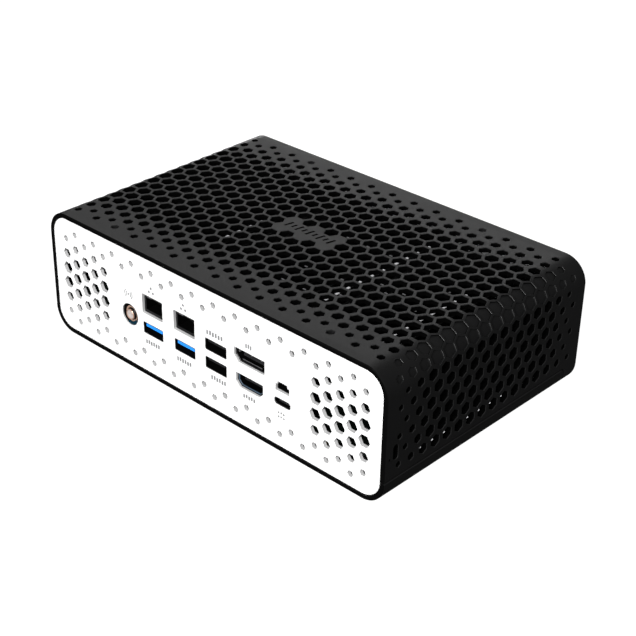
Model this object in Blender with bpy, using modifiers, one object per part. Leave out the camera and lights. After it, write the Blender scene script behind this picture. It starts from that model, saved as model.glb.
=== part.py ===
"""Fanless mini PC: a vented hood over a bottom tray, a port panel at each end, and what it holds.

Frame: +Z up, origin on the floor under the middle of the box, rear port panel at -Y,
power button at +Y, lock slot at +X. Sizes are written in millimetres and turned into
metres by the helpers. Heights are measured from the underside of the box: the datum
empty lifts everything by the height of the feet.
"""
import math

import bmesh
import bpy
from mathutils import Matrix, Vector

MM = 0.001
GAP = 0.3  # clearance between pieces that touch

# Box
WIDTH = 204.0
DEPTH = 129.0
HEIGHT = 61.7
FOOT_HEIGHT = 6.3
WALL = 2.1
CORNER = 11.4
SEAM_HEIGHT = 12.2
SEAM_END_Y = 56.0
SEAM_CORNER = 3.0
MIDDLE = HEIGHT / 2

# End panels
PANEL_RECESS = 0.26
PANEL_THICK = 1.7
PANEL_FACE_Y = DEPTH / 2 - PANEL_RECESS
PORT_SETBACK = 2.7  # the sockets' fronts, behind the panel's face
PORT_FRONT_Y = PANEL_FACE_Y - PORT_SETBACK

# Honeycomb: centre pitch, and the spacing of its columns
PITCH = 7.5
COLUMN = PITCH * math.sqrt(3) / 2
HOOD_SCALE = 2  # the hood's cells are drawn at twice the fine pitch
HOOD_CELL = 13.0
HOOD_SIDE_CELL = 11.0
HOOD_FULL_REACH = 37.5
HOOD_TAPER = 0.36
HOOD_COLUMNS = 6
SIDE_ROW_Z = (20.5, 33.5, 46.5)
EMBLEM_HALF_Y = 8.0
PANEL_CELL = 5.9
PANEL_CELL_TAPER = 0.115
PANEL_COLUMNS = (10, 14)
PANEL_REACH_Z = 16.0

# Board and what stands on it, as heights above the underside
BOARD_LOW = 17.4
BOARD_HIGH = 19.0
BOARD_X = 92.0
BOARD_REAR_Y = -60.8
BOARD_FRONT_Y = 58.0
COIL_X = [-34.0 + 11.0 * k for k in range(6)]
ON_BOARD = BOARD_HIGH + GAP
UNDER_BOARD = BOARD_LOW - GAP

# Heatsink
SINK_LOW = 25.4
SINK_BASE = 7.0
SINK_TOP = 54.2
SINK_X = 98.5
SINK_REAR_Y = -60.5
SINK_FRONT_Y = 56.0
FIN_PITCH = 7.5
FIN_THICK = 1.4
FIN_COUNT = 27
PIPE_RADIUS = 2.1
PIPE_Z = 27.8
PIPE_Y = (-4.0, 10.0)
PROCESSOR_Y = 3.0

# Pieces that move
BUTTON_AT = (-78.0, PANEL_FACE_Y, 26.0)
BUTTON_RADIUS = 6.0
THUMBSCREW_AT = (60.0, -52.0)
FOOT_AT = (76.0, 45.0)
FOOT_RADIUS = 8.2
LATCH_LENGTH = 20.0

# Lock slot on the +X side
LOCK_Y = -58.2
LOCK_Z = 24.5

# Turns that stand a flat outline up, and point a local +Z along an axis
STAND = (math.pi / 2, 0.0, 0.0)
STAND_ACROSS = (math.pi / 2, 0.0, math.pi / 2)
TO_PLUS_Y = (-math.pi / 2, 0.0, 0.0)
TO_PLUS_X = (0.0, math.pi / 2, 0.0)

# Colour, roughness and metallic value of each look
LOOKS = {
    "black_plastic": ((0.022, 0.022, 0.024), 0.5, 0.0),
    "white_plastic": ((0.85, 0.85, 0.84), 0.4, 0.0),
    "rubber": ((0.02, 0.02, 0.02), 0.85, 0.0),
    "steel": ((0.6, 0.6, 0.62), 0.35, 1.0),
    "gold": ((0.8, 0.5, 0.36), 0.3, 1.0),
    "brass": ((0.7, 0.53, 0.25), 0.35, 1.0),
    "copper": ((0.75, 0.38, 0.22), 0.3, 1.0),
    "aluminium": ((0.55, 0.56, 0.58), 0.4, 1.0),
    "blue_plastic": ((0.02, 0.28, 0.85), 0.4, 0.0),
    "port_plastic": ((0.012, 0.012, 0.013), 0.45, 0.0),
    "board_green": ((0.01, 0.06, 0.035), 0.5, 0.0),
    "module_green": ((0.015, 0.12, 0.05), 0.5, 0.0),
    "chip": ((0.03, 0.03, 0.035), 0.4, 0.0),
    "pad_grey": ((0.4, 0.42, 0.45), 0.8, 0.0),
    "light_lens": ((0.55, 0.75, 0.85), 0.2, 0.0),
    "dielectric": ((0.8, 0.8, 0.76), 0.4, 0.0),
    "lead_black": ((0.015, 0.015, 0.015), 0.5, 0.0),
    "drive_metal": ((0.35, 0.36, 0.38), 0.4, 1.0),
}


class Workshop:
    """Holds the collections, the datum and the looks, and adds objects to them."""

    def __init__(self):
        self.parts = self._collection("mini_pc")
        self.cutters = self._collection("mini_pc_cutters")
        self.datum = bpy.data.objects.new("datum", None)
        self.datum.location = (0.0, 0.0, FOOT_HEIGHT * MM)
        self.parts.objects.link(self.datum)
        self.looks = {}

    @staticmethod
    def _collection(name):
        group = bpy.data.collections.new(name)
        bpy.context.scene.collection.children.link(group)
        return group

    def look(self, name):
        """Return the material called name, made on first use."""
        if name not in self.looks:
            colour, roughness, metallic = LOOKS[name]
            material = bpy.data.materials.new(name)
            material.use_nodes = True
            shader = material.node_tree.nodes["Principled BSDF"]
            shader.inputs["Base Color"].default_value = (*colour, 1.0)
            shader.inputs["Roughness"].default_value = roughness
            shader.inputs["Metallic"].default_value = metallic
            self.looks[name] = material
        return self.looks[name]

    def add(self, name, mesh, look, at=(0.0, 0.0, 0.0), turn=(0.0, 0.0, 0.0)):
        """Place a mesh as a part, in millimetres above the datum."""
        obj = self._place(name, mesh, at, turn, self.parts)
        if not mesh.materials:
            mesh.materials.append(self.look(look))
        mesh.shade_smooth()
        mesh.set_sharp_from_angle(angle=math.radians(35))
        return obj

    def cutter(self, name, mesh, at=(0.0, 0.0, 0.0), turn=(0.0, 0.0, 0.0)):
        """Place a mesh as a hidden cutter."""
        obj = self._place(name, mesh, at, turn, self.cutters)
        obj.hide_render = True
        obj.display_type = "WIRE"
        return obj

    def _place(self, name, mesh, at, turn, group):
        obj = bpy.data.objects.new(name, mesh)
        obj.location = Vector(at) * MM
        obj.rotation_euler = turn
        obj.parent = self.datum
        group.objects.link(obj)
        return obj


def combine(target, tool, operation="DIFFERENCE"):
    """Cut or join target with tool by an exact Boolean modifier."""
    boolean = target.modifiers.new(tool.name, "BOOLEAN")
    boolean.operation = operation
    boolean.solver = "EXACT"
    boolean.object = tool
    return target


def mesh_from(name, bm):
    """Turn a bmesh in metres into a mesh."""
    bmesh.ops.recalc_face_normals(bm, faces=bm.faces)
    mesh = bpy.data.meshes.new(name)
    bm.to_mesh(mesh)
    bm.free()
    return mesh


def blocks_mesh(name, boxes):
    """One mesh of axis-aligned blocks, each given as its low and high corners."""
    bm = bmesh.new()
    for low, high in boxes:
        size = [(b - a) * MM for a, b in zip(low, high)]
        middle = [(b + a) * MM / 2 for a, b in zip(low, high)]
        place = Matrix.Translation(middle) @ Matrix.Diagonal((*size, 1.0))
        bmesh.ops.create_cube(bm, size=1.0, matrix=place)
    return mesh_from(name, bm)


def block(shop, name, look, low, high):
    """A rectangular part between two corners, with its origin at its middle."""
    middle = [(a + b) / 2 for a, b in zip(low, high)]
    half = [(b - a) / 2 for a, b in zip(low, high)]
    mesh = blocks_mesh(name, [([-h for h in half], half)])
    return shop.add(name, mesh, look, at=middle)


def rod_mesh(name, radius, length, sides=24):
    """A cylinder along local Z, centred."""
    bm = bmesh.new()
    bmesh.ops.create_cone(
        bm, cap_ends=True, segments=sides, radius1=radius * MM, radius2=radius * MM, depth=length * MM
    )
    return mesh_from(name, bm)


def outline_mesh(name, loops, thickness):
    """A flat outline, with later loops as holes, as thick along local Z as stated."""
    curve = bpy.data.curves.new(name, "CURVE")
    curve.dimensions = "2D"
    curve.fill_mode = "BOTH"
    curve.extrude = thickness * MM / 2
    for loop in loops:
        spline = curve.splines.new("POLY")
        spline.points.add(len(loop) - 1)
        for point, (u, v) in zip(spline.points, loop):
            point.co = (u * MM, v * MM, 0.0, 1.0)
        spline.use_cyclic_u = True
    return mesh_of_curve(name, curve)


def mesh_of_curve(name, curve):
    """Convert a curve to a closed mesh and remove the curve."""
    holder = bpy.data.objects.new(name, curve)
    bpy.context.scene.collection.objects.link(holder)
    view = bpy.context.evaluated_depsgraph_get()
    mesh = bpy.data.meshes.new_from_object(holder.evaluated_get(view))
    bpy.data.objects.remove(holder, do_unlink=True)
    bm = bmesh.new()
    bm.from_mesh(mesh)
    bpy.data.meshes.remove(mesh)
    bmesh.ops.remove_doubles(bm, verts=bm.verts, dist=1e-6)
    return mesh_from(name, bm)


def turned(shop, name, look, profile, at, turn=(0.0, 0.0, 0.0), steps=24, closed=False):
    """A turned part: its profile of (radius, height) runs down the outer side."""
    mesh = bpy.data.meshes.new(name)
    verts = [(r * MM, 0.0, z * MM) for r, z in profile]
    edges = [(i, i + 1) for i in range(len(verts) - 1)]
    if closed:
        edges.append((len(verts) - 1, 0))
    mesh.from_pydata(verts, edges, [])
    obj = shop.add(name, mesh, look, at=at, turn=turn)
    screw = obj.modifiers.new("turn", "SCREW")
    screw.steps = steps
    screw.render_steps = steps
    screw.use_merge_vertices = True
    screw.merge_threshold = 0.00001
    screw.use_smooth_shade = True
    return obj


def rounded(x_low, x_high, z_low, z_high, radius, steps=7):
    """Points of a rectangle with round corners, anticlockwise."""
    centres = (
        (x_high - radius, z_high - radius, 0.0),
        (x_low + radius, z_high - radius, math.pi / 2),
        (x_low + radius, z_low + radius, math.pi),
        (x_high - radius, z_low + radius, math.pi * 1.5),
    )
    points = []
    for cx, cz, start in centres:
        for k in range(steps + 1):
            angle = start + k * math.pi / 2 / steps
            points.append((cx + radius * math.cos(angle), cz + radius * math.sin(angle)))
    return points


def chamfered(x_low, x_high, z_low, z_high, left=0.0, right=0.0):
    """Points of a rectangle whose bottom corners may be cut off at 45 degrees."""
    points = [(x_high, z_high), (x_low, z_high), (x_low, z_low + left)]
    if left:
        points.append((x_low + left, z_low))
    if right:
        points.append((x_high - right, z_low))
    points.append((x_high, z_low + right))
    return points


def stepped(x_low, x_high, z_low, z_high, shoulder_z, step):
    """Points of a rectangle that narrows by a step above its shoulder."""
    return [
        (x_high, shoulder_z), (x_high - step, shoulder_z), (x_high - step, z_high),
        (x_low + step, z_high), (x_low + step, shoulder_z), (x_low, shoulder_z),
        (x_low, z_low), (x_high, z_low),
    ]


def sleeve_outline(inset):
    """The box's end outline, moved in by inset."""
    half = WIDTH / 2 - inset
    return rounded(-half, half, inset, HEIGHT - inset, CORNER - inset)


def hex_cutters(name, cells, length, axis_turn):
    """One mesh of hexagonal prisms: cells are (centre, corner-to-corner size)."""
    bm = bmesh.new()
    turn = axis_turn.to_4x4() @ Matrix.Rotation(math.radians(30), 4, "Z")
    for centre, across in cells:
        place = Matrix.Translation(Vector(centre) * MM) @ turn
        radius = across / 2 * MM
        bmesh.ops.create_cone(
            bm, cap_ends=True, segments=6, radius1=radius, radius2=radius, depth=length * MM, matrix=place
        )
    return mesh_from(name, bm)


def row_places(odd, pitch, reach):
    """Places along one column: multiples of the pitch, moved by half of it on even columns."""
    start = 0.0 if odd else pitch / 2
    places = []
    place = start
    while place <= reach:
        places.append(place)
        if place:
            places.append(-place)
        place += pitch
    return places


# ---------------------------------------------------------------- casing


def seam_outline(clearance):
    """The stretch of the box that belongs to the tray, seen from the side."""
    top = SEAM_HEIGHT + clearance
    end = SEAM_END_Y + clearance
    points = [(-DEPTH, -HEIGHT), (end, -HEIGHT)]
    for k in range(6):
        angle = k * math.pi / 2 / 5
        points.append(
            (end - SEAM_CORNER * (1 - math.cos(angle)), top - SEAM_CORNER * (1 - math.sin(angle)))
        )
    points.append((-DEPTH, top))
    return points


def hood_cells():
    """Cells of the hood's top: smaller towards both ends, none under the emblem."""
    pitch = PITCH * HOOD_SCALE
    cells = []
    for column in range(-HOOD_COLUMNS, HOOD_COLUMNS + 1):
        x = column * COLUMN * HOOD_SCALE
        for y in row_places(column % 2 == 1, pitch, DEPTH / 2 - PITCH):
            if column == 0 and abs(y) < EMBLEM_HALF_Y:
                continue
            cells.append(((x, y, HEIGHT - WALL / 2), tapered(HOOD_CELL, y)))
    return cells


def side_cells():
    """Cells of the hood's sides, in three rows."""
    cells = []
    for row, z in enumerate(SIDE_ROW_Z):
        for y in row_places(row % 2 == 0, PITCH * HOOD_SCALE, DEPTH / 2 - PITCH):
            cells.append(((0.0, y, z), tapered(HOOD_SIDE_CELL, y)))
    return cells


def tapered(full, y):
    """Size of a hood cell at y: full in the middle, smaller near the ends."""
    return full - HOOD_TAPER * max(0.0, abs(y) - HOOD_FULL_REACH)


def make_hood(shop):
    """The hood: top, sides and the whole ring at the front end."""
    mesh = outline_mesh("hood", [sleeve_outline(0.0), sleeve_outline(WALL)], DEPTH)
    hood = shop.add("hood", mesh, "black_plastic", turn=STAND)
    tray_space = outline_mesh("tray_space", [seam_outline(GAP / 2)], WIDTH * 1.2)
    combine(hood, shop.cutter("tray_space", tray_space, turn=STAND_ACROSS))
    across = Matrix.Rotation(math.pi / 2, 3, "Y")
    top = hex_cutters("top_vents", hood_cells(), WALL * 3, Matrix.Identity(3))
    side = hex_cutters("side_vents", side_cells(), WIDTH * 1.1, across)
    combine(hood, shop.cutter("top_vents", top))
    combine(hood, shop.cutter("side_vents", side))
    combine(hood, lock_slot(shop, "hood_slot"))
    return hood


def lock_slot(shop, name):
    """Cutter of the lock slot, near the rear edge of the +X side."""
    half_width, half_height = 1.45, 3.45
    outline = rounded(
        LOCK_Y - half_width, LOCK_Y + half_width, LOCK_Z - half_height, LOCK_Z + half_height, 1.0, steps=3
    )
    mesh = outline_mesh(name, [outline], 12.0)
    return shop.cutter(name, mesh, at=(WIDTH / 2, 0.0, 0.0), turn=STAND_ACROSS)


def make_tray(shop):
    """The bottom tray: floor and round lower corners, with vents, screw holes and foot recesses."""
    mesh = outline_mesh("bottom_tray", [sleeve_outline(0.0), sleeve_outline(WALL)], DEPTH)
    tray = shop.add("bottom_tray", mesh, "black_plastic", turn=STAND)
    stretch = outline_mesh("tray_stretch", [seam_outline(-GAP / 2)], WIDTH * 1.2)
    combine(tray, shop.cutter("tray_stretch", stretch, turn=STAND_ACROSS), "INTERSECT")
    cells = []
    for column in range(1, 6):
        x = column * COLUMN * HOOD_SCALE
        for y in row_places(column % 2 == 1, PITCH * HOOD_SCALE, 30.0):
            cells.append(((x, y, WALL / 2), 9.0))
    vents = hex_cutters("tray_vents", cells, WALL * 3, Matrix.Identity(3))
    combine(tray, shop.cutter("tray_vents", vents))
    for side in (-1, 1):
        hole = rod_mesh("screw_hole", 1.9, WALL * 3, sides=16)
        hole_at = (side * THUMBSCREW_AT[0], THUMBSCREW_AT[1], WALL / 2)
        combine(tray, shop.cutter(f"screw_hole_{side}", hole, at=hole_at))
        for end in (-1, 1):
            recess = rod_mesh("foot_recess", FOOT_RADIUS + GAP, 1.6)
            recess_at = (side * FOOT_AT[0], end * FOOT_AT[1], 0.0)
            combine(tray, shop.cutter(f"foot_recess_{side}_{end}", recess, at=recess_at))
    return tray


def make_feet(shop):
    """Four rubber feet, each seated in its recess."""
    profile = [
        (0.0, 0.5), (FOOT_RADIUS, 0.5), (FOOT_RADIUS - 0.5, -FOOT_HEIGHT + 0.5),
        (FOOT_RADIUS - 1.0, -FOOT_HEIGHT), (0.0, -FOOT_HEIGHT),
    ]
    for end, end_name in ((-1, "rear"), (1, "front")):
        for side, side_name in ((-1, "left"), (1, "right")):
            at = (side * FOOT_AT[0], end * FOOT_AT[1], 0.0)
            turned(shop, f"foot_{end_name}_{side_name}", "rubber", profile, at)


def make_thumbscrews(shop):
    """Two captive thumbscrews under the rear edge, and the posts they screw into."""
    profile = [
        (0.0, 9.0), (1.5, 9.0), (1.5, -0.4), (4.6, -0.4), (4.6, -4.1), (4.2, -4.6), (0.0, -4.6),
    ]
    for side, name in ((-1, "left"), (1, "right")):
        x = side * THUMBSCREW_AT[0]
        y = THUMBSCREW_AT[1]
        screw = turned(shop, f"thumbscrew_{name}", "steel", profile, (x, y, 0.0))
        slot = blocks_mesh("driver_slot", [((-6.0, -0.6, -6.0), (6.0, 0.6, -3.6))])
        combine(screw, shop.cutter(f"driver_slot_{name}", slot, at=(x, y, 0.0)))
        low = WALL + GAP
        post_mesh = rod_mesh("tray_post", 3.2, UNDER_BOARD - low, sides=6)
        post = shop.add(f"tray_post_{name}", post_mesh, "brass", at=(x, y, (UNDER_BOARD + low) / 2))
        bore = rod_mesh("post_bore", 1.8, 20.0, sides=16)
        combine(post, shop.cutter(f"post_bore_{name}", bore, at=(x, y, 1.0)))


# ---------------------------------------------------------------- ports


class Port:
    """A socket behind an opening in an end panel: a body with one or more cavities."""

    def __init__(self, name, cavities, reach, wall, depth, look, shell=None, tongue=None):
        self.name = name
        self.cavities = cavities  # each cavity(grow) gives its points, grown by grow
        self.reach = reach
        self.wall = wall
        self.depth = depth
        self.look = look
        self.shell = shell or cavities[0]
        self.tongue = tongue  # x range and z range of a tongue moulded to the body

    def make(self, shop, end):
        """Make the body, with its mouth at the panel's back; end is -1 rear, 1 front."""
        middle_y = end * (PORT_FRONT_Y - self.depth / 2)
        mesh = outline_mesh(self.name, [self.shell(self.wall)], self.depth)
        body = shop.add(self.name, mesh, self.look, at=(0.0, middle_y, 0.0), turn=STAND)
        for index, cavity in enumerate(self.cavities):
            tool_name = f"{self.name}_cavity_{index}"
            tool = outline_mesh(tool_name, [cavity(0.0)], self.depth)
            at = (0.0, middle_y + end * PORT_BACK, 0.0)
            combine(body, shop.cutter(tool_name, tool, at=at, turn=STAND))
        if self.tongue:
            (x_low, x_high), (z_low, z_high) = self.tongue
            front = end * (PORT_FRONT_Y - TONGUE_SETBACK)
            back = end * (PORT_FRONT_Y - self.depth + PORT_BACK / 2)
            corners = ((x_low, min(front, back), z_low), (x_high, max(front, back), z_high))
            tool = blocks_mesh(f"{self.name}_tongue", [corners])
            combine(body, shop.cutter(f"{self.name}_tongue", tool), "UNION")
        return body

    def openings(self, shop, end):
        """Make the cutters of the panel's openings, a little wider than the cavities."""
        at = (0.0, end * (PANEL_FACE_Y - PANEL_THICK / 2), 0.0)
        tools = []
        for index, cavity in enumerate(self.cavities):
            tool_name = f"{self.name}_opening_{index}"
            mesh = outline_mesh(tool_name, [cavity(self.reach)], PANEL_THICK * 3)
            tools.append(shop.cutter(tool_name, mesh, at=at, turn=STAND))
        return tools


def rectangle(x_low, x_high, z_low, z_high, left=0.0, right=0.0):
    """Outline function of a rectangular port, with 45 degree bottom corners if stated."""
    return lambda grow: chamfered(x_low - grow, x_high + grow, z_low - grow, z_high + grow, left, right)


def pill(x_low, x_high, z_low, z_high, radius):
    """Outline function of a port with round ends."""
    return lambda grow: rounded(
        x_low - grow, x_high + grow, z_low - grow, z_high + grow, radius + grow, steps=4
    )


PORT_BACK = 1.0
TONGUE_SETBACK = 1.0
TONGUE_LENGTH = 8.0

# name, cavities, panel reach beyond the cavity, wall, depth, look
REAR_PORTS = (
    Port("lan_jack_left", [rectangle(-38.2, -26.2, 32.7, 41.0)], 0.5, 1.6, 21.0, "port_plastic"),
    Port("lan_jack_right", [rectangle(-17.65, -5.65, 32.7, 41.0)], 0.5, 1.6, 21.0, "port_plastic"),
    Port("usb_blue_left_shell", [rectangle(-38.2, -25.9, 22.4, 27.4)], 0.2, 0.5, 14.0, "steel"),
    Port("usb_blue_right_shell", [rectangle(-17.6, -5.3, 22.4, 27.4)], 0.2, 0.5, 14.0, "steel"),
    Port(
        "usb_black_stack_shell",
        [rectangle(1.8, 14.1, 30.9, 35.9), rectangle(1.8, 14.1, 21.9, 26.9)],
        0.2, 0.5, 14.0, "steel", shell=rectangle(1.8, 14.1, 21.9, 35.9),
    ),
    Port(
        "display_port", [rectangle(19.5, 36.5, 33.1, 39.0, left=2.2)], 0.2, 0.6, 12.0, "steel",
        tongue=((22.5, 34.6), (35.6, 37.2)),
    ),
    Port(
        "video_port", [rectangle(20.5, 35.6, 21.3, 27.1, left=2.0, right=2.0)], 0.2, 0.6, 12.0, "steel",
        tongue=((22.8, 33.2), (24.0, 25.4)),
    ),
    Port(
        "usb_c_power_port", [pill(42.7, 51.3, 22.7, 25.5, 1.39)], 0.2, 0.5, 8.0, "steel",
        tongue=((43.9, 50.1), (23.8, 24.4)),
    ),
    Port(
        "mini_display_port",
        [lambda grow: stepped(43.4 - grow, 50.5 + grow, 29.5 - grow, 33.3 + grow, 32.0 + grow, 1.1)],
        0.2, 0.6, 9.0, "steel", tongue=((45.0, 48.9), (31.0, 31.8)),
    ),
)

# Sockets of the front end, low on the same board
FRONT_PORTS = (
    Port("card_reader", [rectangle(-46.2, -21.8, 20.2, 22.4)], 0.3, 0.7, 26.0, "steel"),
    Port(
        "front_usb_c_port", [pill(-10.3, -1.7, 20.2, 23.0, 1.39)], 0.2, 0.5, 8.0, "steel",
        tongue=((-9.1, -2.9), (21.3, 21.9)),
    ),
    Port(
        "front_usb_a_port", [rectangle(11.8, 24.1, 20.2, 25.2)], 0.2, 0.5, 14.0, "steel",
        tongue=((12.6, 23.3), (23.0, 24.8)),
    ),
)

# Loose tongues of the rear USB shells: name, x range, z range, look
TONGUES = (
    ("usb_blue_left_tongue", (-37.4, -26.7), (25.2, 27.0), "blue_plastic"),
    ("usb_blue_right_tongue", (-16.8, -6.1), (25.2, 27.0), "blue_plastic"),
    ("usb_black_upper_tongue", (2.6, 13.3), (33.7, 35.5), "port_plastic"),
    ("usb_black_lower_tongue", (2.6, 13.3), (24.7, 26.5), "port_plastic"),
)

ANTENNA_AT = (-47.5, 27.3)
AUDIO_AT = (42.0, 22.3)


def make_tongues(shop):
    """The plastic tongue inside each rear USB shell."""
    front = TONGUE_SETBACK - PORT_FRONT_Y
    for name, (x_low, x_high), (z_low, z_high), look in TONGUES:
        block(shop, name, look, (x_low, front, z_low), (x_high, front + TONGUE_LENGTH, z_high))


def panel_cells():
    """The panel's two clusters of cells, smaller away from its middle line."""
    cells = []
    for column in range(PANEL_COLUMNS[0], PANEL_COLUMNS[1] + 1):
        for offset in row_places(column % 2 == 1, PITCH, PANEL_REACH_Z):
            size = PANEL_CELL - PANEL_CELL_TAPER * abs(offset)
            for side in (-1, 1):
                cells.append(((side * column * COLUMN, 0.0, MIDDLE + offset), size))
    return cells


def make_panel(shop, name, end, ports):
    """An end panel with an opening for each of its ports."""
    mesh = outline_mesh(name, [sleeve_outline(WALL + GAP)], PANEL_THICK)
    middle_y = end * (PANEL_FACE_Y - PANEL_THICK / 2)
    panel = shop.add(name, mesh, "white_plastic", at=(0.0, middle_y, 0.0), turn=STAND)
    for port in ports:
        port.make(shop, end)
        for opening in port.openings(shop, end):
            combine(panel, opening)
    return panel


def round_hole(shop, panel, name, radius, x, z, end):
    """Cut a round hole through a panel."""
    mesh = rod_mesh(name, radius, PANEL_THICK * 3)
    at = (x, end * (PANEL_FACE_Y - PANEL_THICK / 2), z)
    combine(panel, shop.cutter(name, mesh, at=at, turn=STAND))


def make_rear_end(shop):
    """The rear panel, its sockets and the antenna connector."""
    panel = make_panel(shop, "rear_panel", -1, REAR_PORTS)
    round_hole(shop, panel, "antenna_hole", 5.5, *ANTENNA_AT, -1)
    standing = Matrix.Rotation(math.pi / 2, 3, "X")
    vents = hex_cutters("panel_vents", panel_cells(), PANEL_THICK * 3, standing)
    combine(panel, shop.cutter("panel_vents", vents, at=(0.0, -PANEL_FACE_Y + PANEL_THICK / 2, 0.0)))
    make_antenna_connector(shop)


def make_antenna_connector(shop):
    """A coaxial socket: threaded barrel and tail, nut, and the insulator with its pin."""
    at = (ANTENNA_AT[0], -PANEL_FACE_Y, ANTENNA_AT[1])
    barrel = [
        (2.3, -0.4), (3.1, -0.4), (3.1, -7.2), (4.9, -7.2), (4.9, -8.4), (1.9, -8.4),
        (1.9, -12.5), (0.0, -12.5), (0.0, -8.0), (2.3, -8.0),
    ]
    outward = (math.pi / 2, 0.0, 0.0)
    turned(shop, "antenna_socket", "gold", barrel, at, turn=outward, closed=True)
    nut = [(5.2, -4.9), (5.2, -6.9), (3.95, -6.9), (3.95, -4.9)]
    turned(shop, "antenna_nut", "gold", nut, at, turn=outward, steps=6, closed=True)
    insulator = [(0.0, -0.9), (0.5, -0.9), (0.5, -2.4), (2.0, -2.4), (2.0, -7.7), (0.0, -7.7)]
    turned(shop, "antenna_pin", "dielectric", insulator, at, turn=outward)


def make_front_end(shop):
    """The front panel with its sockets, power button, light ring and status light."""
    panel = make_panel(shop, "front_panel", 1, FRONT_PORTS)
    round_hole(shop, panel, "audio_hole", 3.2, *AUDIO_AT, 1)
    make_audio_jack(shop)
    round_hole(shop, panel, "button_hole", BUTTON_RADIUS + 1.9, BUTTON_AT[0], BUTTON_AT[2], 1)
    round_hole(shop, panel, "light_hole", 1.3, -62.0, BUTTON_AT[2], 1)
    light = rod_mesh("status_light", 1.0, PANEL_THICK + 2.0, sides=12)
    light_at = (-62.0, PANEL_FACE_Y - PANEL_THICK / 2 - 1.0, BUTTON_AT[2])
    shop.add("status_light", light, "light_lens", at=light_at, turn=STAND)
    make_button(shop)


def make_audio_jack(shop):
    """A round headset socket in a block body, its nose reaching into the panel."""
    front = PORT_FRONT_Y
    x, z = AUDIO_AT
    low = (x - 3.5, front - 12.0, ON_BOARD)
    body = block(shop, "headset_jack", "port_plastic", low, (x + 3.5, front, 25.3))
    nose = rod_mesh("jack_nose", 2.8, 3.0, sides=20)
    combine(body, shop.cutter("jack_nose", nose, at=(x, front + 0.6, z), turn=STAND), "UNION")
    bore = rod_mesh("jack_bore", 1.8, 24.0, sides=16)
    combine(body, shop.cutter("jack_bore", bore, at=(x, front + 1.5, z), turn=STAND))


def make_button(shop):
    """The power button with its stem, the light ring round it, and the switch behind."""
    cap = [
        (0.0, 0.0), (BUTTON_RADIUS - 0.4, 0.0), (BUTTON_RADIUS, -0.4), (BUTTON_RADIUS, -1.9),
        (BUTTON_RADIUS + 1.0, -1.9), (BUTTON_RADIUS + 1.0, -3.2), (2.0, -3.2), (2.0, -8.0), (0.0, -8.0),
    ]
    turned(shop, "power_button", "black_plastic", cap, BUTTON_AT, turn=TO_PLUS_Y)
    ring = [
        (BUTTON_RADIUS + 1.6, -0.1), (BUTTON_RADIUS + 1.6, -1.5),
        (BUTTON_RADIUS + 0.35, -1.5), (BUTTON_RADIUS + 0.35, -0.1),
    ]
    turned(shop, "button_light_ring", "light_lens", ring, BUTTON_AT, turn=TO_PLUS_Y, closed=True)
    x, _, z = BUTTON_AT
    block(shop, "button_switch", "port_plastic", (x - 3.0, 49.5, ON_BOARD), (x + 3.0, 55.1, z + 2.5))


# ---------------------------------------------------------------- inside


def make_board(shop):
    """The motherboard with its small fixed components as one body."""
    board = block(
        shop, "motherboard", "board_green",
        (-BOARD_X, BOARD_REAR_Y, BOARD_LOW), (BOARD_X, BOARD_FRONT_Y, BOARD_HIGH),
    )
    bite = 0.2
    coils = [((x, 26.0, BOARD_HIGH - bite), (x + 7.0, 33.0, 22.6)) for x in COIL_X]
    components = [
        *coils,
        ((44.0, -26.0, BOARD_HIGH - bite), (60.0, -10.0, 21.2)),  # bridge chip
        ((0.2, 19.0, 12.6), (4.2, 43.0, BOARD_LOW + bite)),  # solid-state card's connector
        ((-81.0, -32.0, BOARD_HIGH - bite), (-77.0, -10.0, 23.6)),  # wireless card's connector
        ((12.0 + GAP, -10.0, 4.4), (18.0, 18.0, BOARD_LOW + bite)),  # storage drive's connector
    ]
    extras = blocks_mesh("board_components", components)
    combine(board, shop.cutter("board_components", extras), "UNION")


def make_processor(shop):
    """The processor package, its thermal pad and the cold plate."""
    y = PROCESSOR_Y
    package = block(shop, "processor", "chip", (-21.0, y - 14.0, ON_BOARD), (21.0, y + 14.0, 20.3))
    die = blocks_mesh("processor_die", [((-8.0, y - 6.0, 20.0), (8.0, y + 6.0, 21.0))])
    combine(package, shop.cutter("processor_die", die), "UNION")
    block(shop, "thermal_pad", "pad_grey", (-9.0, y - 7.0, 21.3), (9.0, y + 7.0, 21.9))
    block(shop, "cold_plate", "copper", (-24.0, y - 17.0, 22.2), (24.0, y + 17.0, SINK_LOW - GAP))


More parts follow.
